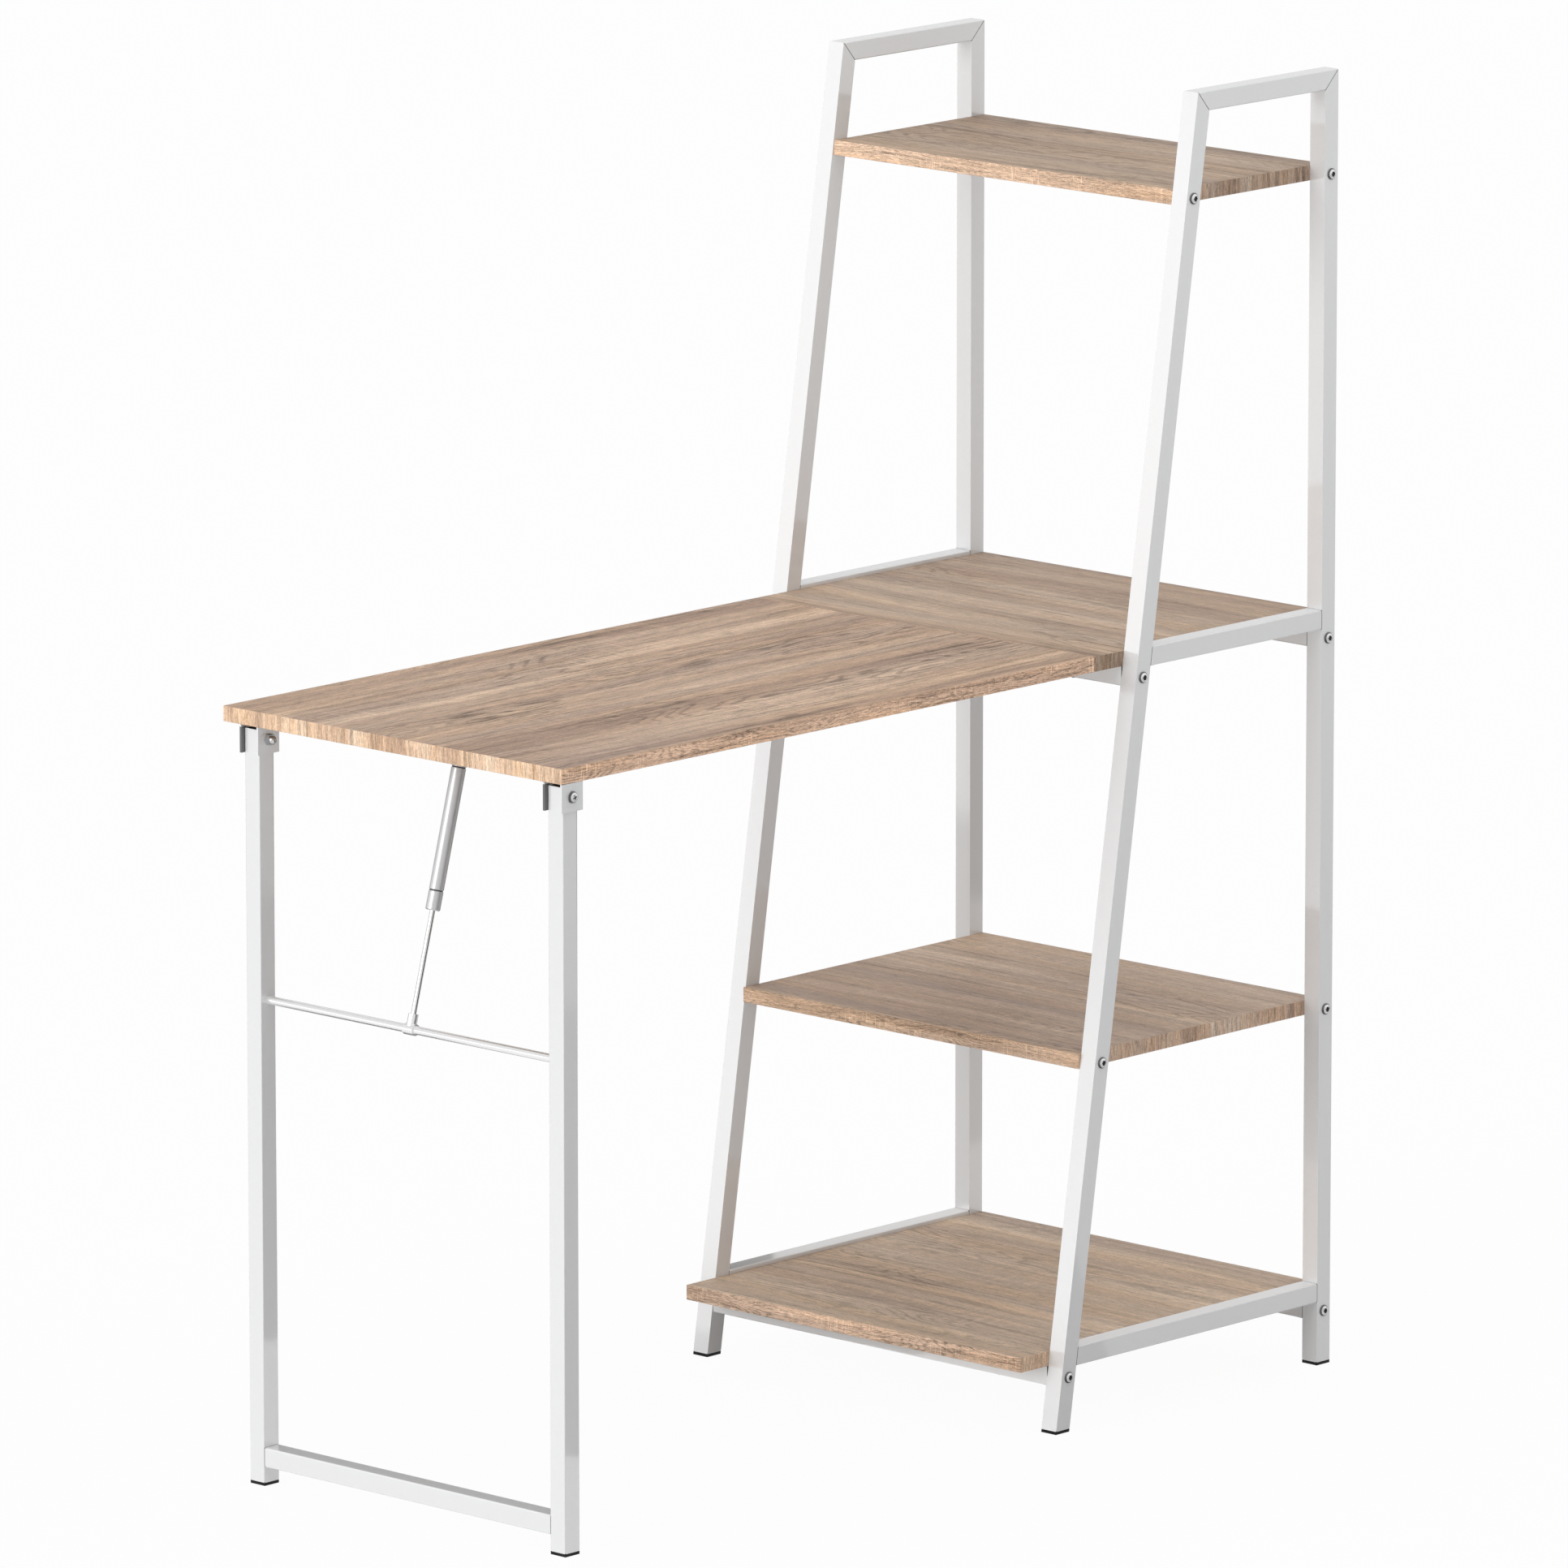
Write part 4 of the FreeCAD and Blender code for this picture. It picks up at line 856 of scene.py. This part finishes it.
def addSocket(bm, crown, outward):
    # a hexagonal liner with its walls and floor, open towards the outside, painting the shade inside the
    # socket
    depth = socketMake["depth"] - socketMake["rim"]
    middle = crown - outward * (socketMake["rim"] + depth / 2)
    flatUp = Matrix.Rotation(math.radians(30), 4, "Z")
    radius = socketMake["key"] / math.sqrt(3) - socketMake["gap"]
    socket = bmesh.new()
    bmesh.ops.create_cone(socket, cap_ends=True, segments=6, radius1=radius, radius2=radius, depth=depth,
                          matrix=standAt(middle, outward) @ flatUp)
    socket.normal_update()
    lid = max(socket.faces, key=lambda face: face.normal.dot(outward))
    bmesh.ops.inset_individual(socket, faces=[lid], thickness=socketMake["wall"], use_even_offset=True)
    bmesh.ops.translate(socket, vec=-outward * socketMake["sunk"], verts=lid.verts)
    joinInto(bm, socket)


def addSkirt(bm, base, outward, radius, make):
    # a dark ring that follows the side of a head and the start of its dome, painting the shade on the head's
    # side
    rise = make["head"] - make["edge"]
    ball = (radius * radius + rise * rise) / (2 * rise)
    proud = skirtMake["proud"]
    outer = [(radius + proud, 0.0), (radius + proud, make["edge"])]
    for step in (0.5, 1.0):
        height = rise * make["cover"] * step
        reach = math.sqrt(ball * ball - (ball - rise + height) ** 2)
        outer.append((reach + proud, make["edge"] + height + proud))
    inner = [(reach - skirtMake["wall"], height) for reach, height in reversed(outer)]
    ring = bmesh.new()
    points = [ring.verts.new((reach, 0, height)) for reach, height in outer + inner]
    loop = [ring.edges.new(pair) for pair in zip(points, points[1:] + points[:1])]
    bmesh.ops.spin(ring, geom=points + loop, cent=(0, 0, 0), axis=(0, 0, 1), angle=math.tau,
                   steps=skirtMake["segments"], use_merge=True)
    bmesh.ops.remove_doubles(ring, verts=ring.verts, dist=weldDistance)
    bmesh.ops.recalc_face_normals(ring, faces=ring.faces)
    bmesh.ops.transform(ring, matrix=standAt(base, outward), verts=ring.verts)
    joinInto(bm, ring)


def buildBoltDetails(side):
    sockets = bmesh.new()
    skirts = bmesh.new()
    postLow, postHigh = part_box(side + "_rear_post")
    for low, high in looseBoxes(side + "_frame_bolts"):
        crown, outward = headOf(low, high)
        addSocket(sockets, crown, outward)
        base = crown.copy()
        base.y = postLow.y if outward.y < 0 else postHigh.y
        addSkirt(skirts, base, outward, (high.x - low.x) / 2, skirtMake["frame"])
    newPiece(side + "_bolt_sockets", sockets, [looks["darkRecess"]], "shelf")
    newPiece(side + "_bolt_skirts", skirts, [looks["darkZinc"]], "shelf")


def buildPivotSkirts():
    bm = bmesh.new()
    for low, high in looseBoxes("leg_pivot_bolts"):
        crown, outward = headOf(low, high)
        base = crown - outward * skirtMake["pivot"]["head"]
        addSkirt(bm, base, outward, (high.x - low.x) / 2, skirtMake["pivot"])
    newPiece("pivot_bolt_skirts", bm, [looks["darkZinc"]], "leaf")


buildBoltDetails("near")
buildBoltDetails("far")
buildPivotSkirts()
print("bolt sockets built")

# thin grey sheets inside the far flange of each leg bracket, folded over its front edge: painted shade on
# the flange's inner face and front edge
flangeShadeMake = {"flange": 0.0020, "thickness": 0.0004, "lip": 0.00001, "depth": 0.0060, "web": 0.0022,
             "edge": 0.000005}


def addBlock(bm, low, high):
    place = Matrix.Translation((low + high) / 2) @ Matrix.Diagonal((*(high - low), 1))
    bmesh.ops.create_cube(bm, size=1, matrix=place)


def buildBracketFlangeShade(make):
    bm = bmesh.new()
    for side in ("near", "far"):
        low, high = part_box(side + "_leg_bracket")
        face = high.y - make["flange"]
        front = low.x - make["lip"]
        back = low.x + make["depth"]
        top = high.z - make["web"]
        addBlock(bm, Vector((front, face - make["thickness"], low.z)), Vector((back, face, top)))
        addBlock(bm, Vector((front, face, low.z)), Vector((low.x, high.y, top)))
    roundEdges(bm, bm.edges[:], make["edge"], 1)
    newPiece("bracket_liners", bm, [looks["linerGrey"]], "leaf")


buildBracketFlangeShade(flangeShadeMake)
print("bracket liners built")

# cross recesses: dark inlays that follow the crown of each head, painting the shade of the cross recess
screwCross = {"long": 0.0036, "wide": 0.0008, "dome": 0.0}
recesses = {
    "leg_pivot_bolts": {"body": "leaf", "long": 0.0050, "wide": 0.0011, "dome": 0.0091},
    "leaf_hinge_screws": {"body": "leaf", **screwCross},
    "leg_bracket_screws": {"body": "leaf", **screwCross},
    "strut_bracket_screws": {"body": "leaf", **screwCross},
    "shelf_hinge_screws": {"body": "shelf", **screwCross},
    "rail_screws": {"body": "shelf", **screwCross},
}
recessMake = {"depth": 0.0004, "lift": 0.00003, "cuts": 5, "firstTurn": 20, "nextTurn": 37}


def addCross(bm, crown, outward, make, turn):
    size = (make["long"], make["wide"], recessMake["depth"], 1)
    shortest = (make["long"] + make["wide"]) / 2
    for quarter in (0, 90):
        arm = bmesh.new()
        bmesh.ops.create_cube(arm, size=1, matrix=Matrix.Diagonal(size))
        lengthwise = [edge for edge in arm.edges if edge.calc_length() > shortest]
        bmesh.ops.subdivide_edges(arm, edges=lengthwise, cuts=recessMake["cuts"])
        for vert in arm.verts:
            vert.co.z += recessMake["lift"] - recessMake["depth"] / 2
            if make["dome"]:
                vert.co.z -= vert.co.x ** 2 / (2 * make["dome"])
        turned = Matrix.Rotation(math.radians(turn + quarter), 4, "Z")
        bmesh.ops.transform(arm, matrix=standAt(crown, outward) @ turned, verts=arm.verts)
        joinInto(bm, arm)


def buildRecesses(name, make):
    bm = bmesh.new()
    for index, (low, high) in enumerate(looseBoxes(name)):
        if name == "leg_pivot_bolts":
            crown, outward = headOf(low, high)
        else:
            crown = (low + high) / 2
            crown.z = low.z
            outward = Vector((0, 0, -1))
        addCross(bm, crown, outward, make, recessMake["firstTurn"] + recessMake["nextTurn"] * index)
    newPiece(name + "_recesses", bm, [looks["darkRecess"]], make["body"])


for name, make in recesses.items():
    buildRecesses(name, make)
print("cross recesses built:", len(recesses))

# black rings in the strut's two grooves, the painted shade of the grooves in the seal's black finish; places
# are lengths from the round bar
strutRings = {"places": (0.1320, 0.2490), "radius": 0.0064, "height": 0.0011, "segments": 40,
              "rim": 0.0003, "rimSteps": 3}


def buildStrutRings(make):
    barLow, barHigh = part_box("strut_crossbar")
    pinLow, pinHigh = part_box("strut_top_pin")
    rodLow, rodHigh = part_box("strut_cylinder")
    start = (barLow + barHigh) / 2
    start.y = (rodLow.y + rodHigh.y) / 2
    end = (pinLow + pinHigh) / 2
    end.y = start.y
    along = (end - start).normalized()
    bm = bmesh.new()
    for distance in make["places"]:
        bmesh.ops.create_cone(bm, cap_ends=True, segments=make["segments"], radius1=make["radius"],
                              radius2=make["radius"], depth=make["height"],
                              matrix=standAt(start + along * distance, along))
        rims = [edge for edge in bm.edges if edge.calc_face_angle() > sharpAngle]
        roundEdges(bm, rims, make["rim"], make["rimSteps"])
    newPiece("strut_groove_rings", bm, [looks["sealRubber"]], "strut_cylinder")


buildStrutRings(strutRings)
print("strut rings built")
